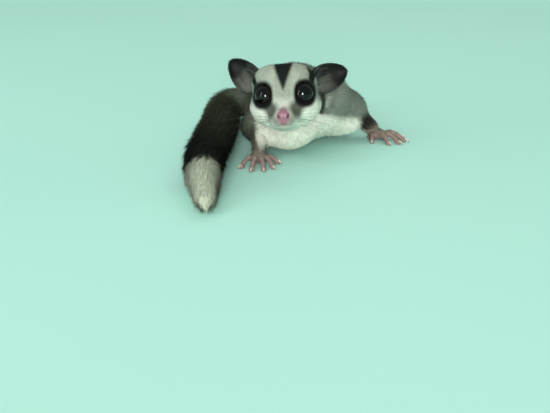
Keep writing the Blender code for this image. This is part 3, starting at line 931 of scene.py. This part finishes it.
LIMB_FLOW = {
    "thigh": ((0, 0.8, -0.55), (0, 0.8, -0.55)),
    "membrane": ((0, 1, -0.1), (0, 1, -0.1)),
    "upper_arm": (np.subtract(ELBOW_LEFT, SHOULDER_LEFT), np.subtract(ELBOW_RIGHT, SHOULDER_RIGHT)),
    "forearm": (np.subtract(WRIST_LEFT, ELBOW_LEFT), np.subtract(WRIST_RIGHT, ELBOW_RIGHT)),
    "shin": (np.subtract(ANKLE_LEFT, KNEE_LEFT), np.subtract(ANKLE_RIGHT, KNEE_RIGHT)),
}
LEFT_HAND_FLOW, PAW_FLOW = (0.46, -0.39, -0.8), (0, -0.6, -0.8)
LEFT_HAND_X = 32.0
HEEL_Y = 76.0
MIDLINE_X = 5.0


def flow(at):
    """Which way the coat lies at each point, along the skin."""
    nose = head_place() @ Vector((0, -24, -6))
    turn = np.array(head_place().to_3x3())
    from_nose = unit(at.points - np.array(nose)) + 0.25 * turn[:, 1]
    ways = {
        "head": from_nose,
        "trunk": np.tile((0, 1, -0.35), (len(at.points), 1)),
        "tail": at.tail_heading,
        "paw": np.where(at.points[:, :1] > LEFT_HAND_X, LEFT_HAND_FLOW, PAW_FLOW),
        "ear": np.where((at.head[:, :1] > 0), EARS[1].along, EARS[-1].along),
    }
    for kind, (left, right) in LIMB_FLOW.items():
        ways[kind] = np.where(at.points[:, :1] > MIDLINE_X, unit(np.array(left, float)), unit(np.array(right, float)))
    ways["shin"] = ways["shin"] + ramp(at.points[:, 1:2], HEEL_Y, HEEL_Y + 4) * np.array((0, -1.2, -1.2))
    way = sum(at.share[:, [i]] * unit(ways[kind]) for i, kind in enumerate(REGIONS))
    for side in (1, -1):
        centre = np.array(head_place() @ eye_centre(side))
        to_eye = centre - at.points
        far = np.linalg.norm(to_eye, axis=1)
        to_eye /= far[:, None]
        towards = np.maximum((way * to_eye).sum(axis=1), 0) * (1 - ramp(far, 6.5, 9.0))
        way = way - 1.35 * towards[:, None] * to_eye
    way -= (way * at.normals).sum(axis=1)[:, None] * at.normals
    return unit(way)


def coat_sizes(at):
    """Length, width and lift of the tuft at each point."""
    length, width, lift = (at.mixed({kind: COAT[kind][i] for kind in REGIONS}) for i in range(3))
    on_head, on_trunk, on_tail, on_paw = (at.share[:, REGIONS.index(kind)] for kind in ("head", "trunk", "tail", "paw"))
    face = 0.26 + 0.74 * ramp(at.head[:, 1], -18, 1)
    lids = 0.24 + 0.76 * ramp(at.eye_distance(), 5.6, 8.8)
    length *= 1 + on_head * (face * lids - 1)
    width *= 1 + on_head * (np.sqrt(face * lids) - 1)
    lift *= 1 - 0.85 * on_head * (1 - lids)
    throat = on_trunk * (1 - ramp(at.points[:, 1], 16, 34))
    banded = np.max([neck_cover(at, i) for i in range(len(NECK_STRIPES))], axis=0)
    length *= (1 - 0.5 * throat) * (1 - 0.5 * banded)
    width *= 1 - 0.3 * np.maximum(throat, banded)
    lift = lift - 5 * throat
    low = on_trunk * (1 - ramp(at.points[:, 2], 4, 12)) * (1 - throat)
    length *= 1 - 0.4 * low
    tip = ramp(at.tail_place, TAIL_END - 9, TAIL_END)
    length *= 1 - 0.42 * tip * on_tail
    end_on = np.degrees(np.arcsin(np.clip((at.normals * at.tail_heading).sum(axis=1), 0, 1)))
    lift = np.maximum(lift, 0.9 * end_on * on_tail)
    hairs = at.ear_hollow() > 1
    length, width, lift = (np.where(hairs, own, given) for own, given in zip(EAR_HAIR_SIZE, (length, width, lift)))
    fingers = on_paw * ramp(np.minimum(at.off["forearm"], at.off["shin"]), 1.5, 4.5)
    length *= 1 - 0.75 * fingers
    width *= 1 - 0.4 * fingers
    return length, width, lift


def coat_density(at):
    """Tufts to a square millimetre, and none where the skin is bare."""
    density = at.mixed({kind: COAT[kind][3] for kind in REGIONS})
    on_head = at.share[:, REGIONS.index("head")]
    x, y, z = at.head.T
    density *= 1 + on_head * (1 - ramp(y, -16, -2)) * 0.9
    density *= 1 + 0.5 * at.share[:, REGIONS.index("trunk")] * (1 - ramp(at.points[:, 1], 16, 34))
    bare = at.eye_distance() < LID_EDGE
    bare |= (on_head > 0.5) & (y < -18.8) & (np.abs(x) < 2.2) & (z > -11.4) & (z < -6.2)
    bare |= at.ear_hollow() > 0
    leg = np.minimum(at.off["forearm"], at.off["shin"])
    bare |= at.is_in("paw") & ((leg > 4.5) | (at.points[:, 2] < 1.5))
    return np.where(bare, 0, density) + EAR_HAIRS * (at.ear_hollow() > 1)


def sprinkled(points, normals, uv, triangles, density, count_scale):
    """Roots spread over the skin's triangles, each with its normal and its place on the map."""
    a, b, c = points[triangles[:, 0]], points[triangles[:, 1]], points[triangles[:, 2]]
    area = np.linalg.norm(np.cross(b - a, c - a), axis=1) / 2
    weight = np.cumsum(area * density[triangles].mean(axis=1))
    count = int(weight[-1] * count_scale)
    spots = (np.arange(count) + RANDOM.random(count)) / count * weight[-1]
    chosen = np.minimum(np.searchsorted(weight, spots), len(triangles) - 1)
    u, v = RANDOM.random((2, count))
    fold = u + v > 1
    u[fold], v[fold] = 1 - u[fold], 1 - v[fold]
    shares = np.stack([1 - u - v, u, v], axis=1)[:, :, None]
    roots = (points[triangles[chosen]] * shares).sum(axis=1)
    facing = unit((normals[triangles[chosen]] * shares).sum(axis=1))
    return roots, facing, (uv[chosen] * shares).sum(axis=1)


# Each tuft's corners: how far along, across and out in its own frame, its shade and its place on its patch. The shade
# darkens each tuft towards its root and lightens its tip a little: partly the coat's own banding, partly painted shade
# deep among the tufts.
TUFT_RINGS = (
    (0, 1, 0, 0.72, (-1, -1)),
    (0, -1, 0, 0.72, (1, -1)),
    (0, 0, 0.9, 0.72, (0, -0.5)),
    (1, 0.72, 0, 0.94, (-0.7, 0)),
    (1, -0.72, 0, 0.94, (0.7, 0)),
    (1, 0, 0.62, 0.96, (0, 0.3)),
    (2, 0, 0, 1.08, (0, 1)),
)
TUFT_FACES = ((0, 1, 2), (1, 0, 3), (1, 3, 4), (2, 1, 4), (2, 4, 5), (0, 2, 5), (0, 5, 3), (4, 3, 6), (5, 4, 6), (3, 5, 6))
ROOT_DEPTH = 0.25
BEND = 12.0
SWAY = 6.0
SEEN_AT = 0.6


def tufts(name, roots, normals, lie, sizes, colours, uv):
    """One mesh of tapered three-sided tufts, each of which rises from its root and bends back along the skin."""
    count = len(roots)
    length, width, lift = sizes
    length = length * RANDOM.uniform(0.72, 1.15, count)
    width = width * RANDOM.uniform(0.75, 1.25, count)
    lift = lift * RANDOM.uniform(0.5, 1.22, count)
    sway = np.radians(RANDOM.normal(0, SWAY, count))
    across = np.cross(normals, lie)
    lie = lie * np.cos(sway)[:, None] + across * np.sin(sway)[:, None]
    across = np.cross(lie, normals)

    def heading(degrees):
        angle = np.radians(degrees)[:, None]
        return lie * np.cos(angle) + normals * np.sin(angle)

    first, second = heading(lift + BEND), heading(lift - BEND)
    start = roots - ROOT_DEPTH * normals
    middle = start + first * (0.45 * length)[:, None]
    tip = middle + second * (0.55 * length)[:, None]
    spine = np.stack([start, middle, tip], axis=1)
    out = np.cross(first, across)
    half = (width / 2)[:, None]
    corners = np.empty((count, len(TUFT_RINGS), 3))
    facing = np.empty_like(corners)
    shades = np.empty(len(TUFT_RINGS))
    places = np.empty((len(TUFT_RINGS), 2))
    for i, (ring, side, rise, shade, place) in enumerate(TUFT_RINGS):
        corners[:, i] = spine[:, ring] + half * (side * across + rise * out)
        facing[:, i] = unit(normals + 0.45 * side * across + 0.15 * rise * out)
        shades[i] = shade
        places[i] = place
    corners[:, :, 2] = np.maximum(corners[:, :, 2], 0.05)
    faces = np.arange(count)[:, None, None] * len(TUFT_RINGS) + np.array(TUFT_FACES)
    obj = triangle_mesh(name, corners.reshape(-1, 3), faces.reshape(-1, 3))
    # Painted shade at each tuft's root, over the coat's own darker base, times a random tone
    tone = RANDOM.normal(1, 0.09, (count, 1, 1)) * shades[:, None]
    paint(obj, (colours[:, None, :] * np.clip(tone, 0.3, 1.5)).reshape(-1, 3))
    layer = obj.data.uv_layers.new(name="OFBake", do_init=False)
    spots = (uv[:, None, :] + places * (UV_PATCH / 2))[:, np.array(TUFT_FACES).ravel()]
    layer.uv.foreach_set("vector", spots.astype(np.float32).ravel())
    obj.data.normals_split_custom_set_from_vertices(facing.reshape(-1, 3).astype(np.float32))
    return obj


# Materials


def new_material(name, roughness, specular=0.5):
    material = bpy.data.materials.new(name)
    material.use_nodes = True
    shader = material.node_tree.nodes["Principled BSDF"]
    shader.inputs["Roughness"].default_value = roughness
    shader.inputs["Specular IOR Level"].default_value = specular
    return material, material.node_tree, shader


def noise(tree, scale, detail=3.0, roughness=0.55):
    """Noise of the object's own place, whose scale is waves to a metre."""
    place = tree.nodes.new("ShaderNodeTexCoord")
    texture = tree.nodes.new("ShaderNodeTexNoise")
    texture.inputs["Scale"].default_value = scale
    texture.inputs["Detail"].default_value = detail
    texture.inputs["Roughness"].default_value = roughness
    tree.links.new(place.outputs["Object"], texture.inputs["Vector"])
    return texture.outputs["Fac"]


def spread(tree, value, low, high):
    """A value of about 0.3 to 0.7 turned into one from low to high."""
    node = tree.nodes.new("ShaderNodeMapRange")
    node.inputs["From Min"].default_value = 0.3
    node.inputs["From Max"].default_value = 0.7
    node.inputs["To Min"].default_value = low
    node.inputs["To Max"].default_value = high
    tree.links.new(value, node.inputs["Value"])
    return node.outputs["Result"]


def shaded(tree, colour, factor):
    """A colour times a factor."""
    node = tree.nodes.new("ShaderNodeVectorMath")
    node.operation = "SCALE"
    tree.links.new(colour, node.inputs[0])
    tree.links.new(factor, node.inputs["Scale"])
    return node.outputs["Vector"]


def stored_colour(tree):
    node = tree.nodes.new("ShaderNodeAttribute")
    node.attribute_name = "Coat"
    return node.outputs["Color"]


def add_bump(tree, shader, height, strength, distance):
    bump = tree.nodes.new("ShaderNodeBump")
    bump.inputs["Strength"].default_value = strength
    bump.inputs["Distance"].default_value = distance
    tree.links.new(height, bump.inputs["Height"])
    tree.links.new(bump.outputs["Normal"], shader.inputs["Normal"])


def fur_material():
    material, tree, shader = new_material("fur", 0.72, 0.1)
    patchy = spread(tree, noise(tree, 420, 4), 0.84, 1.14)
    tree.links.new(shaded(tree, stored_colour(tree), patchy), shader.inputs["Base Color"])
    tree.links.new(spread(tree, noise(tree, 900), 0.62, 0.84), shader.inputs["Roughness"])
    return material


def skin_material():
    material, tree, shader = new_material("skin", 0.6, 0.17)
    shader.inputs["Subsurface Weight"].default_value = 0.12
    shader.inputs["Subsurface Radius"].default_value = (1.0, 0.35, 0.25)
    shader.inputs["Subsurface Scale"].default_value = 0.0012
    mottled = spread(tree, noise(tree, 1300, 4), 0.82, 1.14)
    tree.links.new(shaded(tree, stored_colour(tree), mottled), shader.inputs["Base Color"])
    tree.links.new(spread(tree, noise(tree, 2500), 0.46, 0.68), shader.inputs["Roughness"])
    creases = tree.nodes.new("ShaderNodeTexVoronoi")
    creases.feature = "DISTANCE_TO_EDGE"
    creases.inputs["Scale"].default_value = 2200
    place = tree.nodes.new("ShaderNodeTexCoord")
    tree.links.new(place.outputs["Object"], creases.inputs["Vector"])
    add_bump(tree, shader, creases.outputs["Distance"], 0.35, 0.0002)
    return material


def nose_material():
    material, tree, shader = new_material("nose", 0.38, 0.5)
    shader.inputs["Subsurface Weight"].default_value = 0.2
    shader.inputs["Subsurface Radius"].default_value = (1.0, 0.4, 0.3)
    shader.inputs["Subsurface Scale"].default_value = 0.001
    shader.inputs["Coat Weight"].default_value = 0.25
    shader.inputs["Coat Roughness"].default_value = 0.25
    mottled = spread(tree, noise(tree, 2600, 4), 0.86, 1.1)
    tree.links.new(shaded(tree, stored_colour(tree), mottled), shader.inputs["Base Color"])
    add_bump(tree, shader, noise(tree, 5200, 2), 0.3, 0.00012)
    return material


def eye_material():
    material, tree, shader = new_material("eye", 0.04, 0.35)
    streaks = spread(tree, noise(tree, 1500, 5, 0.7), 0.6, 1.5)
    tree.links.new(shaded(tree, stored_colour(tree), streaks), shader.inputs["Base Color"])
    return material


def horn_material():
    material, tree, shader = new_material("claw", 0.35, 0.5)
    ridged = spread(tree, noise(tree, 3000, 3), 0.85, 1.12)
    tree.links.new(shaded(tree, stored_colour(tree), ridged), shader.inputs["Base Color"])
    add_bump(tree, shader, noise(tree, 6000, 2), 0.2, 0.00005)
    return material


def whisker_material():
    material, tree, shader = new_material("whisker", 0.4, 0.4)
    tree.links.new(shaded(tree, stored_colour(tree), spread(tree, noise(tree, 700), 0.8, 1.2)), shader.inputs["Base Color"])
    return material


def floor_material():
    material, tree, shader = new_material("floor", 0.85, 0.2)
    ramp_node = tree.nodes.new("ShaderNodeValToRGB")
    ramp_node.color_ramp.elements[0].color = (*FLOOR_DEEP, 1)
    ramp_node.color_ramp.elements[1].color = (*FLOOR_PALE, 1)
    tree.links.new(noise(tree, 3, 2), ramp_node.inputs["Fac"])
    tree.links.new(ramp_node.outputs["Color"], shader.inputs["Base Color"])
    return material


FLOOR_DEEP = srgb(186, 237, 222)
FLOOR_PALE = srgb(198, 246, 232)


# The pieces


def finished(obj, material, slot, *nodes):
    """Gives a piece its material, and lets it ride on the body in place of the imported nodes."""
    obj.data.materials.append(material)
    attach(obj, "root")
    if nodes:
        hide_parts(*nodes)
    return obj


FLESH = [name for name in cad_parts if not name.startswith("eye") and name != "nose"]


def make_skin():
    """One closed skin over head, trunk, limbs, tail and paws, painted and unwrapped."""
    head = hull("head_part", [*HEAD, NECK, *EARS.values()], HEAD_VOXEL, head_field)
    trunk = hull("skin_whole", [*TRUNK, *LIMBS.values(), TAIL], TRUNK_VOXEL, trunk_field)
    paws = [hull(name + "_part", masses, PAW_VOXEL, paw_field(name)) for name, masses in PAW_MASSES.items()]
    whole = united(trunk, [head, *paws])
    mesh = whole.data
    mesh.calc_loop_triangles()
    points = column(mesh.vertices, "co", 3)
    triangles = column(mesh.loop_triangles, "vertices", 3, np.int32)
    bpy.data.objects.remove(whole)
    skin = triangle_mesh("skin", points, triangles)
    normals = column(skin.data.vertices, "normal", 3)
    unwrap(skin)
    uv = column(skin.data.uv_layers["OFBake"].uv, "vector", 2).reshape(-1, 3, 2)
    at = Places(points, normals)
    # Where the coat grows, the skin is painted darker: painted shade under the tufts
    coat_shade = ramp(coat_density(at), 0.0, 1.0)
    paint(skin, markings(at) * (1 - UNDER_FUR_SHADE * coat_shade)[:, None])
    return finished(skin, skin_material(), "grey_fur", *FLESH), points, normals, uv, triangles, at


def make_coat(points, normals, uv, triangles, at):
    """The whole coat, region by region, in pieces of a size that can be handed on."""
    scale = 1.0
    roots, facing, spots = sprinkled(points, normals, uv, triangles, coat_density(at), scale)
    roots_at = Places(roots, facing)
    lie = flow(roots_at)
    sizes = np.array(coat_sizes(roots_at))
    colours = markings(Places(roots + lie * (SEEN_AT * sizes[0])[:, None], facing))
    colours = mixed(colours, EAR_HAIR, 0.35 * (roots_at.ear_hollow() > 1))
    fur = fur_material()
    kinds = {
        "head": (("head", "ear"), "grey_fur"),
        "body": (("trunk", "thigh", "membrane"), "grey_fur"),
        "limbs": (("upper_arm", "forearm", "shin", "paw"), "grey_fur"),
        "tail": (("tail",), "dark_fur"),
    }
    for kind, (regions, slot) in kinds.items():
        chosen = np.flatnonzero(roots_at.is_in(*regions))
        chosen = chosen[np.argsort(roots[chosen, 1], kind="stable")]
        parts = max(1, math.ceil(len(chosen) / TUFTS_A_PIECE))
        for i, part in enumerate(np.array_split(chosen, parts)):
            name = f"coat_{kind}_{i + 1}"
            piece = tufts(name, roots[part], facing[part], lie[part], sizes[:, part], colours[part], spots[part])
            finished(piece, fur, slot)
        print("coat", kind, len(chosen))


def make_eye(name, side, material, packed):
    """A glossy ball with a low cornea, nearly black, a little browner at its edge."""
    bm = bmesh.new()
    bmesh.ops.create_uvsphere(bm, u_segments=64, v_segments=40, radius=1)
    mesh = bpy.data.meshes.new(name + "_ball")
    bm.to_mesh(mesh)
    bm.free()
    mesh.calc_loop_triangles()
    ball = column(mesh.vertices, "co", 3)
    triangles = column(mesh.loop_triangles, "vertices", 3, np.int32)
    gaze = np.array(head_place().to_3x3() @ eye_gaze(side))
    front = ball @ gaze
    radius = EYE_RADIUS + 0.22 * ramp(front, 0.45, 1.0)
    centre = np.array(head_place() @ eye_centre(side))
    eye = triangle_mesh(name, centre + ball * radius[:, None], triangles)
    iris = mixed(np.tile(srgb(24, 14, 9), (len(ball), 1)), srgb(4, 4, 5), ramp(front, 0.55, 0.8))
    paint(eye, iris)
    return finished(eye, material, "eye", packed)


NOSE = (
    Ball((0, -20.3, -7.9), (2.3, 1.9, 2.1)),
    Ball((1.25, -20.7, -8.5), (1.25, 1.3, 1.5)),
    Ball((-1.25, -20.7, -8.5), (1.25, 1.3, 1.5)),
    Ball((0, -20.2, -10.4), (1.0, 1.2, 1.3)),
)
NOSTRIL_ROUTE = ((1.15, -20.2, -8.6), (1.5, -21.6, -8.6), (2.3, -21.9, -8.1), (3.0, -21.0, -7.5))
NOSE_GROOVE = ((0, -22.3, -7.9), (0, -22.3, -9.4), (0, -21.6, -11.6))


def make_nose():
    """The bare pad at the end of the muzzle, with two nostrils and a groove down its middle."""
    place = head_place()
    masses = [mass.placed(place) for mass in NOSE]
    nostrils = [
        Chain([place @ Vector(p) for p in both_sides(NOSTRIL_ROUTE, side)], [0.25, 0.36, 0.32, 0.14])
        for side in (1, -1)
    ]
    groove = Chain([place @ Vector(p) for p in NOSE_GROOVE], [0.1, 0.16, 0.16])

    def field(points):
        found = union(points, masses, 1.0)
        for hollow in [*nostrils, groove]:
            found = pressed(found, hollow.distance(points), 0.3)
        return found

    part = hull("nose_part", masses, 0.15 * ROUGH, field)
    mesh = part.data
    mesh.calc_loop_triangles()
    points = column(mesh.vertices, "co", 3)
    nose = triangle_mesh("nose_pad", points, column(mesh.loop_triangles, "vertices", 3, np.int32))
    bpy.data.objects.remove(part)
    deep = np.minimum(*(nostril.distance(points) for nostril in nostrils))
    # The nostril hollows are painted dark: painted shade where the holes would be deep
    paint(nose, mixed(np.tile(NOSE_PINK, (len(points), 1)), NOSTRIL_SHADE, 1 - ramp(deep, 0.02, 0.35)))
    return finished(nose, nose_material(), "nose_skin", "nose")


def bent_tube(path, radii, sides):
    """Points and triangles of a closed tapered tube along a path."""
    path = array(path)
    way = unit(np.gradient(path, axis=0))
    first = unit(np.cross(way, (0.31, 0.17, 0.93)))
    second = np.cross(way, first)
    angles = np.arange(sides) * math.tau / sides
    rings = (
        path[:, None, :]
        + np.asarray(radii)[:, None, None]
        * (np.cos(angles)[:, None] * first[:, None, :] + np.sin(angles)[:, None] * second[:, None, :])
    )
    triangles = []
    for i in range(len(path) - 1):
        for j in range(sides):
            a, b = i * sides + j, i * sides + (j + 1) % sides
            triangles += [(a, b, b + sides), (a, b + sides, a + sides)]
    last = (len(path) - 1) * sides
    triangles += [(0, j + 1, j) for j in range(1, sides - 1)]
    triangles += [(last, last + j, last + j + 1) for j in range(1, sides - 1)]
    return rings.reshape(-1, 3), np.array(triangles)


def joined_tubes(name, tubes):
    """One mesh of many tubes, painted along each."""
    points, faces, tones, count = [], [], [], 0
    for path, radii, sides, colours in tubes:
        ring_points, triangles = bent_tube(path, radii, sides)
        points.append(ring_points)
        faces.append(triangles + count)
        tones.append(np.repeat(colours, sides, axis=0))
        count += len(ring_points)
    obj = triangle_mesh(name, np.concatenate(points), np.concatenate(faces))
    paint(obj, np.concatenate(tones))
    return obj


def make_claws():
    tubes = []
    for digits, _, place in PAWS.values():
        for digit in digits:
            length, claw = digit[2], digit[4]
            if not claw:
                continue
            reach = claw / length
            bones = [(0.90, 1.35), (1 + 0.1 * reach, 1.75), (1 + 0.6 * reach, 1.65), (1 + 0.95 * reach, 0.95), (1 + 1.05 * reach, 0.45)]
            path = rounded([place @ digit_point(digit, share, height) for share, height in bones], 3)
            radii = np.interp(np.linspace(0, 1, len(path)), (0, 0.35, 0.8, 1), (0.5, 0.46, 0.26, 0.06))
            share = np.linspace(0, 1, len(path))
            tubes.append((path, radii, 8, mixed(np.tile(srgb(206, 190, 176), (len(path), 1)), srgb(96, 78, 66), ramp(share, 0.55, 1.0))))
    return finished(joined_tubes("claws", tubes), horn_material(), "bare_skin")


WHISKER_ROOTS = (
    ((3.6, -17.6, -8.0), (1.0, -0.10, 0.30), 17),
    ((4.2, -16.4, -8.6), (1.0, 0.10, 0.16), 21),
    ((4.4, -15.2, -9.2), (1.0, 0.25, 0.02), 23),
    ((4.4, -14.0, -9.8), (1.0, 0.35, -0.14), 22),
    ((3.9, -17.4, -9.4), (0.9, -0.25, -0.10), 14),
    ((4.1, -16.0, -10.2), (0.9, -0.05, -0.26), 16),
    ((4.0, -14.6, -10.8), (0.9, 0.15, -0.36), 15),
    ((6.4, -12.6, 5.4), (0.5, -0.2, 1.0), 11),
    ((8.0, -11.2, 5.4), (0.8, -0.1, 1.0), 12),
    ((13.0, -3.6, -6.0), (1.0, 0.2, -0.5), 12),
)


def make_whiskers():
    tubes = []
    for side in (1, -1):
        for root, way, length in WHISKER_ROOTS:
            start = Vector((side * root[0], root[1], root[2]))
            heading = Vector((side * way[0], way[1], way[2])).normalized() * length * RANDOM.uniform(0.88, 1.1)
            droop = Vector((0, 0.14, -0.16)) * length
            path = [head_place() @ (start + heading * t + droop * t * t) for t in np.linspace(-0.04, 1, 9)]
            radii = np.linspace(0.055, 0.012, len(path))
            tubes.append((path, radii, 5, np.tile(srgb(84, 80, 74), (len(path), 1)) * np.linspace(0.8, 1.6, len(path))[:, None]))
    return finished(joined_tubes("whiskers", tubes), whisker_material(), "dark_fur")


# The studio

CAMERA_AT = (-4.3, -342.4, HEAD_HEIGHT + 72.8)
CAMERA_TILT = 19.8
FOCAL_PIXELS, PHOTO_WIDTH, SENSOR = 812.0, 550.0, 36.0


def add_camera():
    data = bpy.data.cameras.new("camera")
    data.sensor_width = SENSOR
    data.lens = FOCAL_PIXELS / PHOTO_WIDTH * SENSOR
    data.clip_start = 0.01
    camera = add_object("camera", data)
    camera.location = (np.array(CAMERA_AT) + OFFSET) * MM
    camera.rotation_euler = (math.radians(90 - CAMERA_TILT), 0, 0)
    bpy.context.scene.camera = camera


def add_light(name, place, aim, size, power, colour, reflected=True):
    data = bpy.data.lights.new(name, "AREA")
    data.shape = "RECTANGLE"
    data.size, data.size_y = size
    data.energy = power
    data.color = colour
    light = add_object(name, data)
    light.visible_glossy = reflected
    light.location = place
    light.rotation_euler = (Vector(aim) - Vector(place)).to_track_quat("-Z", "Y").to_euler()


def add_studio():
    bm = bmesh.new()
    bmesh.ops.create_grid(bm, x_segments=1, y_segments=1, size=4.0)
    mesh = bpy.data.meshes.new("floor")
    bm.to_mesh(mesh)
    bm.free()
    floor = add_object("floor", mesh)
    floor.data.materials.append(floor_material())
    aim = tuple((np.array((0, 10, 20)) + OFFSET) * MM)
    add_light("key", (-1.6, -2.6, 2.8), aim, (4.0, 4.0), 44, (1.0, 1.0, 0.97), reflected=False)
    add_light("front", (-0.05, -2.38, 0.562), aim, (0.5, 0.8), 50.0, (1.0, 1.0, 1.0))
    add_light("window", (-0.93, -0.74, 0.28), aim, (0.22, 1.4), 4.5, (0.8, 0.93, 1.0))
    add_light("back", (0.4, 1.8, 2.0), aim, (2.4, 2.0), 16, (0.97, 1.0, 0.98), reflected=False)
    world = bpy.data.worlds.new("world")
    world.use_nodes = True
    background = world.node_tree.nodes["Background"]
    background.inputs["Color"].default_value = (0.72, 0.86, 0.80, 1)
    background.inputs["Strength"].default_value = 0.45
    bpy.context.scene.world = world
    bpy.context.scene.view_settings.view_transform = "Standard"


SKIN, *SURFACE = make_skin()
make_coat(*SURFACE)
EYE = eye_material()
make_eye("eyeball_left", 1, EYE, "eye_left")
make_eye("eyeball_right", -1, EYE, "eye_right")
make_nose()
make_claws()
make_whiskers()
add_camera()
add_studio()
